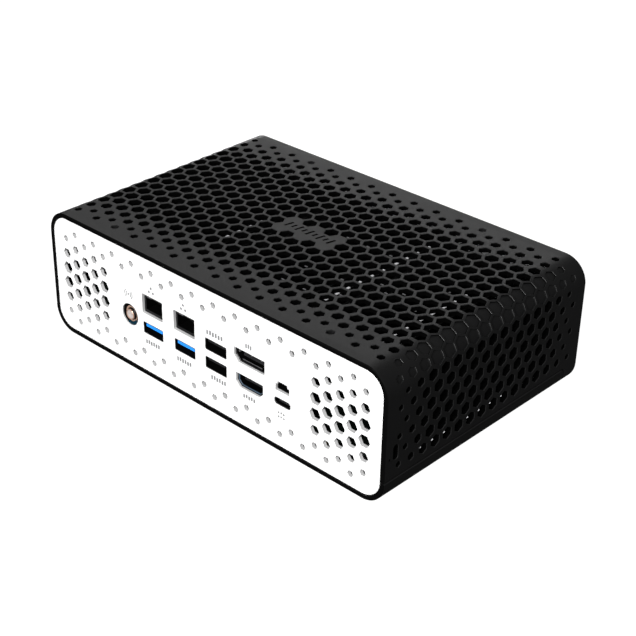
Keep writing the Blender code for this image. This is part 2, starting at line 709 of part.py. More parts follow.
def make_heatsink(shop):
    """The finned heatsink: its fins reach over both rows of sockets."""
    base_top = SINK_LOW + SINK_BASE
    half = FIN_THICK / 2
    points = [(SINK_X, SINK_LOW), (SINK_X, base_top)]
    first = (FIN_COUNT - 1) / 2
    for k in range(FIN_COUNT):
        x = (first - k) * FIN_PITCH
        points += [(x + half, base_top), (x + half, SINK_TOP), (x - half, SINK_TOP), (x - half, base_top)]
    points += [(-SINK_X, base_top), (-SINK_X, SINK_LOW)]
    mesh = outline_mesh("heatsink", [points], SINK_FRONT_Y - SINK_REAR_Y)
    middle_y = (SINK_FRONT_Y + SINK_REAR_Y) / 2
    sink = shop.add("heatsink", mesh, "aluminium", at=(0.0, middle_y, 0.0), turn=STAND)
    clearances = [((-120.0, -90.0, 0.0), (120.0, -38.0, 44.8)), ((-120.0, 44.0, 0.0), (120.0, 90.0, 34.0))]
    steps = blocks_mesh("socket_clearance", clearances)
    combine(sink, shop.cutter("socket_clearance", steps))
    reach = PIPE_RADIUS + GAP
    channels = [
        ((-120.0, y - reach, 0.0), (120.0, y + reach, PIPE_Z + reach)) for y in PIPE_Y
    ]
    combine(sink, shop.cutter("pipe_channels", blocks_mesh("pipe_channels", channels)))
    for index, y in enumerate(PIPE_Y, start=1):
        pipe = rod_mesh("heat_pipe", PIPE_RADIUS, 2 * SINK_X - 20.0, sides=16)
        shop.add(f"heat_pipe_{index}", pipe, "copper", at=(0.0, y, PIPE_Z), turn=TO_PLUS_X)


RAIL_LENGTH = 106.0
MEMORY_X = -40.0
MEMORY_Y = (46.0, 9.0)
MODULE_HALF = 33.8
MODULE_LENGTH = 30.0


def make_memory(shop):
    """Two memory modules under the board, each in a socket with two latch arms."""
    for index, y in enumerate(MEMORY_Y, start=1):
        socket = block(
            shop, f"memory_socket_{index}", "port_plastic",
            (MEMORY_X - 36.5, y, 13.1), (MEMORY_X + 36.5, y + 6.0, UNDER_BOARD),
        )
        slot_low = (MEMORY_X - MODULE_HALF - GAP, y - 1.0, 14.2)
        slot_high = (MEMORY_X + MODULE_HALF + GAP, y + 3.0, 16.0)
        slot = blocks_mesh("memory_slot", [(slot_low, slot_high)])
        combine(socket, shop.cutter(f"memory_slot_{index}", slot))
        block(
            shop, f"memory_module_{index}", "module_green",
            (MEMORY_X - MODULE_HALF, y - MODULE_LENGTH + 2.7, 14.5), (MEMORY_X + MODULE_HALF, y + 2.7, 15.7),
        )
        for side, side_name in ((-1, "left"), (1, "right")):
            make_latch(shop, f"memory_latch_{index}_{side_name}", side, y)


def make_latch(shop, name, side, socket_y):
    """A latch arm, turning at its socket end, with a tooth under the module's edge."""
    inner = MODULE_HALF + 0.4
    pivot = (MEMORY_X + side * (inner + 0.8), socket_y - GAP - 0.8, 15.1)
    arm_mesh = blocks_mesh(name, [((-0.8, -LATCH_LENGTH, -2.0), (0.8, 0.8, 1.9))])
    arm = shop.add(name, arm_mesh, "steel", at=pivot)
    tooth_reach = -side * 1.8
    tooth_low = (min(0.0, tooth_reach), -LATCH_LENGTH, -2.0)
    tooth_high = (max(0.0, tooth_reach), -LATCH_LENGTH + 4.0, -0.9)
    tooth = blocks_mesh("latch_tooth", [(tooth_low, tooth_high)])
    combine(arm, shop.cutter(f"{name}_tooth", tooth, at=pivot), "UNION")


def make_storage(shop):
    """The solid-state card under the board, and the drive with its bracket on the tray."""
    block(shop, "solid_state_card", "module_green", (4.5, 20.0, 13.6), (84.5, 42.0, 15.9))
    drive_low = (-88.0, -31.0, 3.6)
    drive_high = (12.0, 38.85, 10.6)
    block(shop, "storage_drive", "drive_metal", drive_low, drive_high)
    floor = WALL + GAP
    outer_low = drive_low[1] - GAP - 1.0
    outer_high = drive_high[1] + GAP + 1.0
    plate = [((drive_low[0] + 2.0, outer_low, floor), (drive_high[0] - 2.0, outer_high, 3.3))]
    holder = shop.add("drive_bracket", blocks_mesh("drive_bracket", plate), "steel")
    flanges = blocks_mesh("bracket_flanges", [
        ((-80.0, outer_low, floor + 0.2), (4.0, drive_low[1] - GAP, 9.0)),
        ((-80.0, drive_high[1] + GAP, floor + 0.2), (4.0, outer_high, 9.0)),
    ])
    combine(holder, shop.cutter("bracket_flanges", flanges), "UNION")


def make_small_inner_pieces(shop):
    """Wireless card, coin cell, side rails and the plate behind the lock slot."""
    block(shop, "wireless_card", "module_green", (-76.7, -32.0, 20.6), (-46.7, -10.0, 22.6))
    cell = rod_mesh("coin_cell", 10.0, 3.2)
    shop.add("coin_cell", cell, "steel", at=(64.0, 22.0, ON_BOARD + 1.6))
    for side, name in ((-1, "left"), (1, "right")):
        inner_wall = WIDTH / 2 - WALL
        outer = inner_wall - GAP
        profile = [
            (85.0, 15.8), (outer, 15.8), (outer, 23.0), (outer - 1.2, 23.0),
            (outer - 1.2, UNDER_BOARD), (85.0, UNDER_BOARD),
        ]
        points = [(side * x, z) for x, z in profile]
        rail = outline_mesh("side_rail", [points], RAIL_LENGTH)
        shop.add(f"side_rail_{name}", rail, "steel", turn=STAND)
    plate_x = WIDTH / 2 - WALL - GAP
    low = (plate_x - 1.5, LOCK_Y - 3.0, LOCK_Z - 6.5)
    plate = block(shop, "lock_plate", "steel", low, (plate_x, LOCK_Y + 4.0, LOCK_Z + 6.5))
    combine(plate, lock_slot(shop, "plate_slot"))


def smooth_route(points, step=2.2):
    """Read a smooth curve through the route's own points, a few millimetres apart."""
    route = [Vector(p) for p in points]
    padded = [route[0] * 2 - route[1], *route, route[-1] * 2 - route[-2]]
    places = []
    for a, b, c, d in zip(padded, padded[1:], padded[2:], padded[3:]):
        count = max(1, round((c - b).length / step))
        for k in range(count):
            t = k / count
            bend = (2 * a - 5 * b + 4 * c - d) * t * t + (3 * b - a - 3 * c + d) * t ** 3
            places.append((2 * b + (c - a) * t + bend) / 2)
    places.append(route[-1])
    return places


def make_lead(shop, name, look, radius, route):
    """A round lead along a smooth route, with closed ends."""
    curve = bpy.data.curves.new(name, "CURVE")
    curve.dimensions = "3D"
    curve.bevel_depth = radius * MM
    curve.bevel_resolution = 2
    curve.use_fill_caps = True
    places = smooth_route(route)
    spline = curve.splines.new("POLY")
    spline.points.add(len(places) - 1)
    for point, place in zip(spline.points, places):
        point.co = (*(place * MM), 1.0)
    shop.add(name, mesh_of_curve(name, curve), look)


def make_antenna_lead(shop):
    """The coaxial lead from the wireless card to the antenna connector."""
    tail = (ANTENNA_AT[0], -PANEL_FACE_Y + 12.8, ANTENNA_AT[1])
    antenna_route = [
        (-56.0, -28.0, 23.6), (-56.0, -33.0, 23.7), (-57.0, -38.0, 23.9), (-59.5, -42.5, 26.0),
        (-58.5, -46.0, 28.6), (-53.5, -46.5, 29.0), (-48.5, -47.5, 27.8), tail,
    ]
    make_lead(shop, "antenna_lead", "lead_black", 0.65, antenna_route)


def main():
    """Clear the scene and build the mini PC."""
    for obj in list(bpy.data.objects):
        bpy.data.objects.remove(obj, do_unlink=True)
    shop = Workshop()
    make_hood(shop)
    make_tray(shop)
    make_feet(shop)
    make_thumbscrews(shop)
    make_rear_end(shop)
    make_tongues(shop)
    make_front_end(shop)
    make_board(shop)
    make_processor(shop)
    make_heatsink(shop)
    make_memory(shop)
    make_storage(shop)
    make_small_inner_pieces(shop)
    make_antenna_lead(shop)


main()
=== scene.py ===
"""Fanless mini PC: the finished look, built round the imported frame.

Sizes are in millimetres and heights are measured from the underside of the box, as in the
CAD source. A plate is first drawn flat, with its openings, and then bent or set into place.
"""
import logging
import math
from collections.abc import Callable, Iterable, Sequence
from dataclasses import dataclass
from enum import Enum

import bmesh
import bpy
from mathutils import Matrix, Vector


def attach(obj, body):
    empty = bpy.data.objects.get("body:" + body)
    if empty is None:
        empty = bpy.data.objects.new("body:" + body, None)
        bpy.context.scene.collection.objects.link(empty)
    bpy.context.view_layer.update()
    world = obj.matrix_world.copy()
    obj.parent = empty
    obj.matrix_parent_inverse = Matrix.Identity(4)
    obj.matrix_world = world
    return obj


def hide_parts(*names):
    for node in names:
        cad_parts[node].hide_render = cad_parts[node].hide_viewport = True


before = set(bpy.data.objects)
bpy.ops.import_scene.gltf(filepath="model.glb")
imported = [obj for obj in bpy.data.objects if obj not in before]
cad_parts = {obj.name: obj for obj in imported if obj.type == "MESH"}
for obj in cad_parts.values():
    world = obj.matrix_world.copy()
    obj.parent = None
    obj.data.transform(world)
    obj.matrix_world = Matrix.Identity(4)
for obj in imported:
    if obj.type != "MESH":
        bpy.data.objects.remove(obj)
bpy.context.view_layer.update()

LOG = logging.getLogger("mini_pc")
MM = 0.001
LIFT = 6.3  # the feet hold the underside of the box this far above the floor
ROOT3 = math.sqrt(3)
TINY = 1e-6  # two places closer than this are the same
SMOOTH_ANGLE = 28.0  # faces that meet at less are shaded smooth

# Honeycomb shared by the hood and the panels
PITCH = 7.5
TILE_RADIUS = PITCH / ROOT3
COLUMN = 1.5 * TILE_RADIUS
LAST_PANEL_COLUMN = 14
FIRST_VENT_COLUMN = 10

Point = tuple[float, float]
Loop = list[Point]
Color = tuple[float, float, float]
Spot = Callable[[float, float, float], Vector]


class Slot(Enum):
    """The record's material slots, one named for each new piece."""

    BLACK_PLASTIC = "black_plastic"
    WHITE_PLASTIC = "white_plastic"
    RUBBER = "rubber"
    STEEL = "steel"
    GOLD = "gold"
    ALUMINIUM = "aluminium"
    BLUE_PLASTIC = "blue_plastic"
    PORT_PLASTIC = "port_plastic"
    LIGHT_LENS = "light_lens"
    DIELECTRIC = "dielectric"


class Side(Enum):
    """The face of the box that a plate or fitting belongs to."""

    REAR = -1
    FRONT = 1


# ---------------------------------------------------------------- flat outlines


def polar(u: float, v: float, radius: float, angle: float) -> Point:
    """The point at a radius and an angle from (u, v)."""
    return (u + radius * math.cos(angle), v + radius * math.sin(angle))


def hexagon(u: float, v: float, radius: float, squeeze: float = 1.0) -> Loop:
    """A hexagon with corners along u.

    Args:
        u: centre.
        v: centre.
        radius: centre to corner.
        squeeze: share of its width along u that is kept.

    Returns:
        Six points, counter-clockwise.
    """
    return [
        (u + radius * squeeze * math.cos(k * math.pi / 3), v + radius * math.sin(k * math.pi / 3))
        for k in range(6)
    ]


def circle(u: float, v: float, radius: float, steps: int = 32) -> Loop:
    """A circle of straight steps round (u, v)."""
    return [polar(u, v, radius, k * math.tau / steps) for k in range(steps)]


def rounded(u0: float, u1: float, v0: float, v1: float, radius: float, steps: int = 4) -> Loop:
    """A rectangle with round corners.

    Args:
        u0: left edge.
        u1: right edge.
        v0: low edge.
        v1: high edge.
        radius: corner radius.
        steps: straight steps in each corner.

    Returns:
        The outline, counter-clockwise from the lower left.
    """
    corners = [
        (u0 + radius, v0 + radius, math.pi), (u1 - radius, v0 + radius, 1.5 * math.pi),
        (u1 - radius, v1 - radius, 0.0), (u0 + radius, v1 - radius, 0.5 * math.pi),
    ]
    loop = []
    for u, v, start in corners:
        for k in range(steps + 1):
            loop.append(polar(u, v, radius, start + k * math.pi / 2 / steps))
    return loop


def cornered(u0: float, u1: float, v0: float, v1: float, left: float, right: float) -> Loop:
    """A rectangle whose lower corners are cut off by left and right."""
    loop = [(u0 + left, v0), (u1 - right, v0)]
    loop += [(u1, v0 + right)] if right else []
    loop += [(u1, v1), (u0, v1)]
    loop += [(u0, v0 + left)] if left else []
    return loop


def stepped(u0: float, u1: float, v0: float, v1: float, shoulder: float, step: float) -> Loop:
    """A block letter outline: wide below the shoulder and narrower by step above it."""
    return [
        (u0, v0), (u1, v0), (u1, shoulder), (u1 - step, shoulder), (u1 - step, v1), (u0 + step, v1),
        (u0 + step, shoulder), (u0, shoulder),
    ]


def grown(loop: Loop, amount: float) -> Loop:
    """The same outline with every edge moved outwards.

    Args:
        loop: points, counter-clockwise.
        amount: distance; a negative one moves the edges inwards.

    Returns:
        As many points as loop.
    """
    count = len(loop)
    moved = []
    for k in range(count):
        before, here, after = loop[k - 1], loop[k], loop[(k + 1) % count]
        first = Vector((here[1] - before[1], before[0] - here[0])).normalized()
        second = Vector((after[1] - here[1], here[0] - after[0])).normalized()
        mitre = (first + second) / max(0.25, 1 + first.dot(second))
        moved.append((here[0] + mitre.x * amount, here[1] + mitre.y * amount))
    return moved


def graded(table: Sequence[Point], distance: float) -> float:
    """The size at a distance, from a table of (distance, size) in rising order."""
    for (near, size), (far, next_size) in zip(table, table[1:]):
        if distance <= far:
            share = max(0.0, (distance - near) / (far - near))
            return size + (next_size - size) * share
    return table[-1][1]


# ---------------------------------------------------------------- plates


@dataclass
class Cut:
    """An opening or a pocket in a plate.

    A cut with a tile is fitted into the honeycomb: its face is a ring between its own
    outline and its six-cornered tile, which it shares with its neighbours.
    """

    loop: Loop
    chamfer: float = 0.0
    depth: float | None = None
    tile: Loop | None = None
    wall_material: int = 0
    floor_material: int = 0


class Plate:
    """A closed plate drawn flat: u and v across it, and z for the depth below its face."""

    def __init__(
        self, outline: Loop, wall: float, rim: float = 0.0, seam: float | None = None
    ) -> None:
        """Draws the outer edge.

        Args:
            outline: the plate's edge, counter-clockwise.
            wall: the plate's thickness.
            rim: chamfer round the face.
            seam: half the length of a plate whose two ends meet when it is bent round.
        """
        self.bm = bmesh.new()
        self.wall = wall
        self.seam = seam
        self.shared: dict[tuple[float, float, float], bmesh.types.BMVert] = {}
        face = grown(outline, -rim) if rim else outline
        if seam:
            face = [
                (math.copysign(seam, out[0]) if abs(out[0]) > seam - TINY else u, v)
                for (u, v), out in zip(face, outline)
            ]
        rings = [self.ring(face, 0.0)]
        if rim:
            rings.append(self.ring(outline, rim))
        rings.append(self.ring(outline, wall))
        for number, (upper, lower) in enumerate(zip(rings, rings[1:])):
            self.band(upper, lower, material=1 if rim and number == 0 else 0)

    def ring(self, loop: Loop, depth: float) -> list[bmesh.types.BMVert]:
        """Draws one closed ring of edges at a depth, and returns its corners."""
        corners = [self.bm.verts.new((u, v, depth)) for u, v in loop]
        for k, corner in enumerate(corners):
            self.bm.edges.new((corners[k - 1], corner))
        return corners

    def band(self, upper: list, lower: list, material: int = 0) -> None:
        """Joins two rings of the same count, apart from a stretch along the seam."""
        for k in range(len(upper)):
            quad = (upper[k - 1], upper[k], lower[k], lower[k - 1])
            if self.seam and all(abs(corner.co.x) > self.seam - TINY for corner in quad):
                continue
            self.bm.faces.new(quad).material_index = material

    def tile_corners(self, tile: Loop, depth: float) -> list[bmesh.types.BMVert]:
        """The tile's six corners at a depth, shared with the tiles beside it."""
        corners = []
        for u, v in tile:
            key = (round(u, 2), round(v, 2), depth)
            near = [
                (round(key[0] + a / 100, 2), round(key[1] + b / 100, 2), depth)
                for a in (0, -1, 1) for b in (0, -1, 1)
            ]
            found = next((self.shared[k] for k in near if k in self.shared), None)
            if found is None:
                found = self.bm.verts.new((u, v, depth))
                self.shared[key] = found
            corners.append(found)
        return corners

    def cut(self, cut: Cut) -> None:
        """Adds one opening or pocket."""
        through = cut.depth is None
        depth = self.wall if through else cut.depth
        face_loop = grown(cut.loop, cut.chamfer) if cut.chamfer else cut.loop
        rings = [self.ring(face_loop, 0.0)]
        if cut.chamfer:
            rings.append(self.ring(cut.loop, cut.chamfer))
        rings.append(self.ring(cut.loop, depth))
        for number, (upper, lower) in enumerate(zip(rings, rings[1:])):
            on_chamfer = cut.chamfer and number == 0
            self.band(upper, lower, material=1 if on_chamfer else cut.wall_material)
        if not through:
            self.bm.faces.new(rings[-1]).material_index = cut.floor_material
        if cut.tile:
            face_tile = self.tile_corners(cut.tile, 0.0)
            back_tile = self.tile_corners(cut.tile, self.wall)
            self.band(face_tile, rings[0])
            if through:
                self.band(back_tile, rings[-1])
            else:
                self.bm.faces.new(back_tile)

    def close(self) -> None:
        """Fills what is left open of the face and of the back."""
        for depth in (0.0, self.wall):
            open_edges = [
                edge for edge in self.bm.edges
                if len(edge.link_faces) <= 1 and all(abs(v.co.z - depth) < TINY for v in edge.verts)
            ]
            bmesh.ops.triangle_fill(self.bm, edges=open_edges, use_beauty=True, use_dissolve=False)

    def slice(self, places: Iterable[float]) -> None:
        """Divides the plate across u at each place, so that it can be bent there."""
        for place in places:
            everything = self.bm.verts[:] + self.bm.edges[:] + self.bm.faces[:]
            bmesh.ops.bisect_plane(
                self.bm, geom=everything, dist=1e-5, plane_co=(place, 0.0, 0.0),
                plane_no=(1.0, 0.0, 0.0),
            )

    def settle(self, spot: Spot) -> bmesh.types.BMesh:
        """Moves every corner to where spot puts it, and returns the finished mesh."""
        for vert in self.bm.verts:
            vert.co = spot(*vert.co)
        bmesh.ops.remove_doubles(self.bm, verts=self.bm.verts, dist=1e-4)
        return self.bm


def drawn_plate(
    outline: Loop, wall: float, rim: float, cuts: Iterable[Cut], spot: Spot
) -> bmesh.types.BMesh:
    """Draws a plate with its cuts, closes it and sets it in place.

    Args:
        outline: the plate's edge, counter-clockwise.
        wall: its thickness.
        rim: chamfer round its face.
        cuts: openings and pockets.
        spot: where a flat point goes.

    Returns:
        The mesh, in millimetres.
    """
    plate = Plate(outline, wall, rim)
    for cut in cuts:
        plate.cut(cut)
    plate.close()
    return plate.settle(spot)


def slab(
    edges: Sequence[float], radius: float, steps: int, wall: float, rim: float, spot: Spot
) -> bmesh.types.BMesh:
    """A plate with round corners and no openings.

    Args:
        edges: left, right, low and high edge.
        radius: corner radius.
        steps: straight steps in each corner.
        wall: its thickness.
        rim: chamfer round its face.
        spot: where a flat point goes.

    Returns:
        The mesh, in millimetres.
    """
    return drawn_plate(rounded(*edges, radius, steps), wall, rim, [], spot)


def end_spot(side: Side, face: float) -> Spot:
    """Sets a plate upright at one end: u runs along X, v up, and depth goes into the box."""
    return lambda u, v, depth: Vector((u, side.value * (face - depth), v + LIFT))


def under_spot(height: float) -> Spot:
    """Sets a plate facing down at a height: depth goes up."""
    return lambda u, v, depth: Vector((u, v, height + depth + LIFT))


def merged(parts: Iterable[bmesh.types.BMesh]) -> bmesh.types.BMesh:
    """Puts several meshes into one and frees them."""
    whole = bmesh.new()
    for part in parts:
        mesh = bpy.data.meshes.new("part")
        part.to_mesh(mesh)
        part.free()
        whole.from_mesh(mesh)
        bpy.data.meshes.remove(mesh)
    return whole


def bar(low: Sequence[float], high: Sequence[float], edge: float = 0.08) -> bmesh.types.BMesh:
    """A block with chamfered edges, between two corners in the box's own heights.

    Args:
        low: lowest corner.
        high: highest corner.
        edge: chamfer.

    Returns:
        The mesh, in millimetres.
    """
    outline = [(low[0], low[1]), (high[0], low[1]), (high[0], high[1]), (low[0], high[1])]
    bm = bmesh.new()
    inner = grown(outline, -edge)
    levels = [
        (inner, low[2]), (outline, low[2] + edge), (outline, high[2] - edge), (inner, high[2]),
    ]
    rings = [[bm.verts.new((u, v, z + LIFT)) for u, v in loop] for loop, z in levels]
    for lower, upper in zip(rings, rings[1:]):
        for k in range(4):
            bm.faces.new((lower[k - 1], lower[k], upper[k], upper[k - 1]))
    bm.faces.new(rings[0])
    bm.faces.new(rings[-1])
    return bm


def spun(
    profile: Sequence[Point], at: Sequence[float], turn: Matrix | None = None, steps: int = 40
) -> bmesh.types.BMesh:
    """A turned piece: the profile, as (radius, height), goes round its own Z axis.

    Args:
        profile: from one end of the axis to the other, or closed where no radius is 0.
        at: where the axis's origin goes.
        turn: turns the piece before it is moved.
        steps: straight steps round it.

    Returns:
        The mesh, in millimetres.
    """
    bm = bmesh.new()
    rings = []
    for radius, height in profile:
        if radius <= 0:
            rings.append([bm.verts.new((0.0, 0.0, height))])
            continue
        loop = circle(0.0, 0.0, radius, steps)
        rings.append([bm.verts.new((*corner, height)) for corner in loop])
    hollow = all(len(ring) > 1 for ring in rings)
    pairs = list(zip(rings, rings[1:])) + ([(rings[-1], rings[0])] if hollow else [])
    for lower, upper in pairs:
        for k in range(steps):
            corners = [lower[k - 1] if len(lower) > 1 else lower[0]]
            corners += [lower[k]] if len(lower) > 1 else []
            corners += [upper[k], upper[k - 1]] if len(upper) > 1 else [upper[0]]
            bm.faces.new(corners)
    lifted = Vector(at) + Vector((0, 0, LIFT))
    bm.transform(Matrix.Translation(lifted) @ (turn or Matrix.Identity(4)))
    return bm


def facing(side: Side) -> Matrix:
    """Turns a spun piece so that its height runs out of one end of the box."""
    return Matrix.Rotation(math.pi / 2 * (1 if side is Side.REAR else -1), 4, "X")


# ---------------------------------------------------------------- finishes


class Wiring:
    """A few short words for placing and joining shader nodes."""

    def __init__(self, tree: bpy.types.NodeTree) -> None:
        """Works on one node tree."""
        self.tree = tree

    def feed(self, node: bpy.types.Node, sockets: dict[str | int, object]) -> None:
        """Sets a node's inputs to numbers and colours, or links them to other sockets."""
        for key, value in sockets.items():
            if isinstance(value, bpy.types.NodeSocket):
                self.tree.links.new(value, node.inputs[key])
            elif value is not None:
                node.inputs[key].default_value = value

    def node(
        self, kind: str, sockets: dict[str | int, object] | None = None, **settings: object
    ) -> bpy.types.Node:
        """Adds a node.

        Args:
            kind: its type, without the word ShaderNode.
            sockets: what its inputs are set to or linked to.
            settings: its other properties.

        Returns:
            The node.
        """
        made = self.tree.nodes.new(f"ShaderNode{kind}")
        placed = len(self.tree.nodes)
        made.location = (placed * 180 - 900, (placed % 4) * -160)
        for key, value in settings.items():
            setattr(made, key, value)
        self.feed(made, sockets or {})
        return made

    def math(
        self, operation: str, first: object, second: object, third: object = None
    ) -> bpy.types.NodeSocket:
        """A math node between sockets or numbers; returns its result."""
        sockets = {0: first, 1: second, 2: third}
        return self.node("Math", sockets, operation=operation).outputs[0]

    def mixed(self, first: object, second: object, share: object) -> bpy.types.NodeSocket:
        """A mix of two colours; returns its result."""
        sockets = {"A": first, "B": second, "Factor": share}
        return self.node("Mix", sockets, data_type="RGBA").outputs["Result"]


class SurfaceEffects:
    """The shader node groups that the finishes share, each built once."""

    def __init__(self) -> None:
        """Builds every group."""
        self.grain = self.moulded_grain()
        self.lines = self.drawn_lines()
        self.dust = self.settled_dust()

    @staticmethod
    def new_group(
        name: str, numbers: dict[str, float], results: Sequence[str]
    ) -> tuple[bpy.types.NodeTree, Wiring, bpy.types.NodeOutputs, bpy.types.Node]:
        """An empty group with a Vector input, number inputs and number outputs.

        Args:
            name: the group's name.
            numbers: the name and usual value of each number input.
            results: names of the outputs.

        Returns:
            The group, its wiring, what it is given, and the node that takes its results.
        """
        group = bpy.data.node_groups.new(name, "ShaderNodeTree")
        group.interface.new_socket(name="Vector", in_out="INPUT", socket_type="NodeSocketVector")
        for label, value in numbers.items():
            socket = group.interface.new_socket(
                name=label, in_out="INPUT", socket_type="NodeSocketFloat"
            )
            socket.default_value = value
        for label in results:
            group.interface.new_socket(name=label, in_out="OUTPUT", socket_type="NodeSocketFloat")
        given = group.nodes.new("NodeGroupInput").outputs
        return group, Wiring(group), given, group.nodes.new("NodeGroupOutput")

    def moulded_grain(self) -> bpy.types.NodeTree:
        """The fine spark grain of moulded plastic, and a slow unevenness of tone under it."""
        group, wiring, given, out = self.new_group(
            "moulded_grain", {"Scale": 2500.0}, ["Height", "Tone"]
        )
        place, scale = given["Vector"], given["Scale"]
        fine = wiring.node("TexNoise", {"Vector": place, "Scale": scale})
        cell_scale = wiring.math("MULTIPLY", scale, 0.7)
        cells = wiring.node("TexVoronoi", {"Vector": place, "Scale": cell_scale})
        slow_scale = wiring.math("MULTIPLY", scale, 0.02)
        slow = wiring.node("TexNoise", {"Vector": place, "Scale": slow_scale, "Detail": 3.0})
        height = wiring.math("MULTIPLY_ADD", cells.outputs["Distance"], 0.5, fine.outputs["Fac"])
        wiring.feed(out, {"Height": height, "Tone": slow.outputs["Fac"]})
        return group

    def drawn_lines(self) -> bpy.types.NodeTree:
        """The fine lines that rolling, drawing or brushing leaves in metal."""
        group, wiring, given, out = self.new_group(
            "drawn_lines", {"Scale": 900.0, "Stretch": 0.03}, ["Height", "Tone"]
        )
        stretch = wiring.node("CombineXYZ", {"X": given["Stretch"], "Y": 1.0, "Z": 1.0})
        mapping = wiring.node(
            "Mapping", {"Vector": given["Vector"], "Scale": stretch.outputs[0]}
        )
        for share, label in ((1.0, "Height"), (0.15, "Tone")):
            scale = wiring.math("MULTIPLY", given["Scale"], share)
            sockets = {"Vector": mapping.outputs[0], "Scale": scale, "Detail": 3.0}
            wiring.feed(out, {label: wiring.node("TexNoise", sockets).outputs["Fac"]})
        return group

    def settled_dust(self) -> bpy.types.NodeTree:
        """A thin uneven veil on what faces up."""
        group, wiring, given, out = self.new_group(
            "settled_dust", {"Scale": 60.0, "Amount": 0.1}, ["Mask"]
        )
        sockets = {"Vector": given["Vector"], "Scale": given["Scale"], "Detail": 4.0}
        noise = wiring.node("TexNoise", sockets)
        normal = wiring.node("NewGeometry").outputs["Normal"]
        upward = wiring.math(
            "MAXIMUM", wiring.node("SeparateXYZ", {0: normal}).outputs["Z"], 0.0
        )
        patchy = wiring.math("MULTIPLY", noise.outputs["Fac"], upward)
        wiring.feed(out, {"Mask": wiring.math("MULTIPLY", patchy, given["Amount"])})
        return group


def grey(value: float, blue: float = 0.0) -> Color:
    """A grey, or a little bluer than grey."""
    return (value, value, value + blue)


DUST_COLOR = (0.5, 0.49, 0.47)
SMOOTH_RELIEF = 0.000004  # metres


@dataclass(frozen=True)
class Finish:
    """One material: its two colours, its gloss and the effects on it.

    It has the grain of moulded plastic, or drawn lines where it states their scale.
    """

    name: str
    color: Color
    tone: Color
    roughness: float
    spread: float = 0.08
    metallic: float = 0.0
    grain: float = 2500.0
    lines: float = 0.0
    relief: float = 0.00001
    dust: float = 0.0
    specular: float = 0.5
    # Glow is emission: a real lamp on the light lenses, painted light on the other finishes that
    # have it.
    glow: float = 0.0

    def build(self, effects: SurfaceEffects) -> bpy.types.Material:
        """Makes the material.

        Args:
            effects: the shared node groups.

        Returns:
            A node material whose colour, roughness and relief all vary.
        """
        material = bpy.data.materials.new(self.name)
        material.use_nodes = True
        wiring = Wiring(material.node_tree)
        place = wiring.node("TexCoord").outputs["Object"]
        surface = wiring.node(
            "Group", {"Vector": place, "Scale": self.lines or self.grain},
            node_tree=effects.lines if self.lines else effects.grain,
        )
        tone = surface.outputs["Tone"]
        shade = wiring.mixed((*self.color, 1.0), (*self.tone, 1.0), tone)
        if self.dust:
            veil = wiring.node(
                "Group", {"Vector": place, "Amount": self.dust}, node_tree=effects.dust
            )
            shade = wiring.mixed(shade, (*DUST_COLOR, 1.0), veil.outputs["Mask"])
        low = self.roughness - self.spread / 2
        height = surface.outputs["Height"]
        bump = wiring.node("Bump", {"Height": height, "Distance": self.relief, "Strength": 1.0})
        shader = material.node_tree.nodes["Principled BSDF"]
        wiring.feed(shader, {
            "Base Color": shade,
            "Roughness": wiring.math("MULTIPLY_ADD", tone, self.spread, low),
            "Normal": bump.outputs["Normal"],
            "Metallic": self.metallic,
            "Specular IOR Level": self.specular,
        })
        if self.glow:
            wiring.feed(shader, {"Emission Color": shade, "Emission Strength": self.glow})
        return material


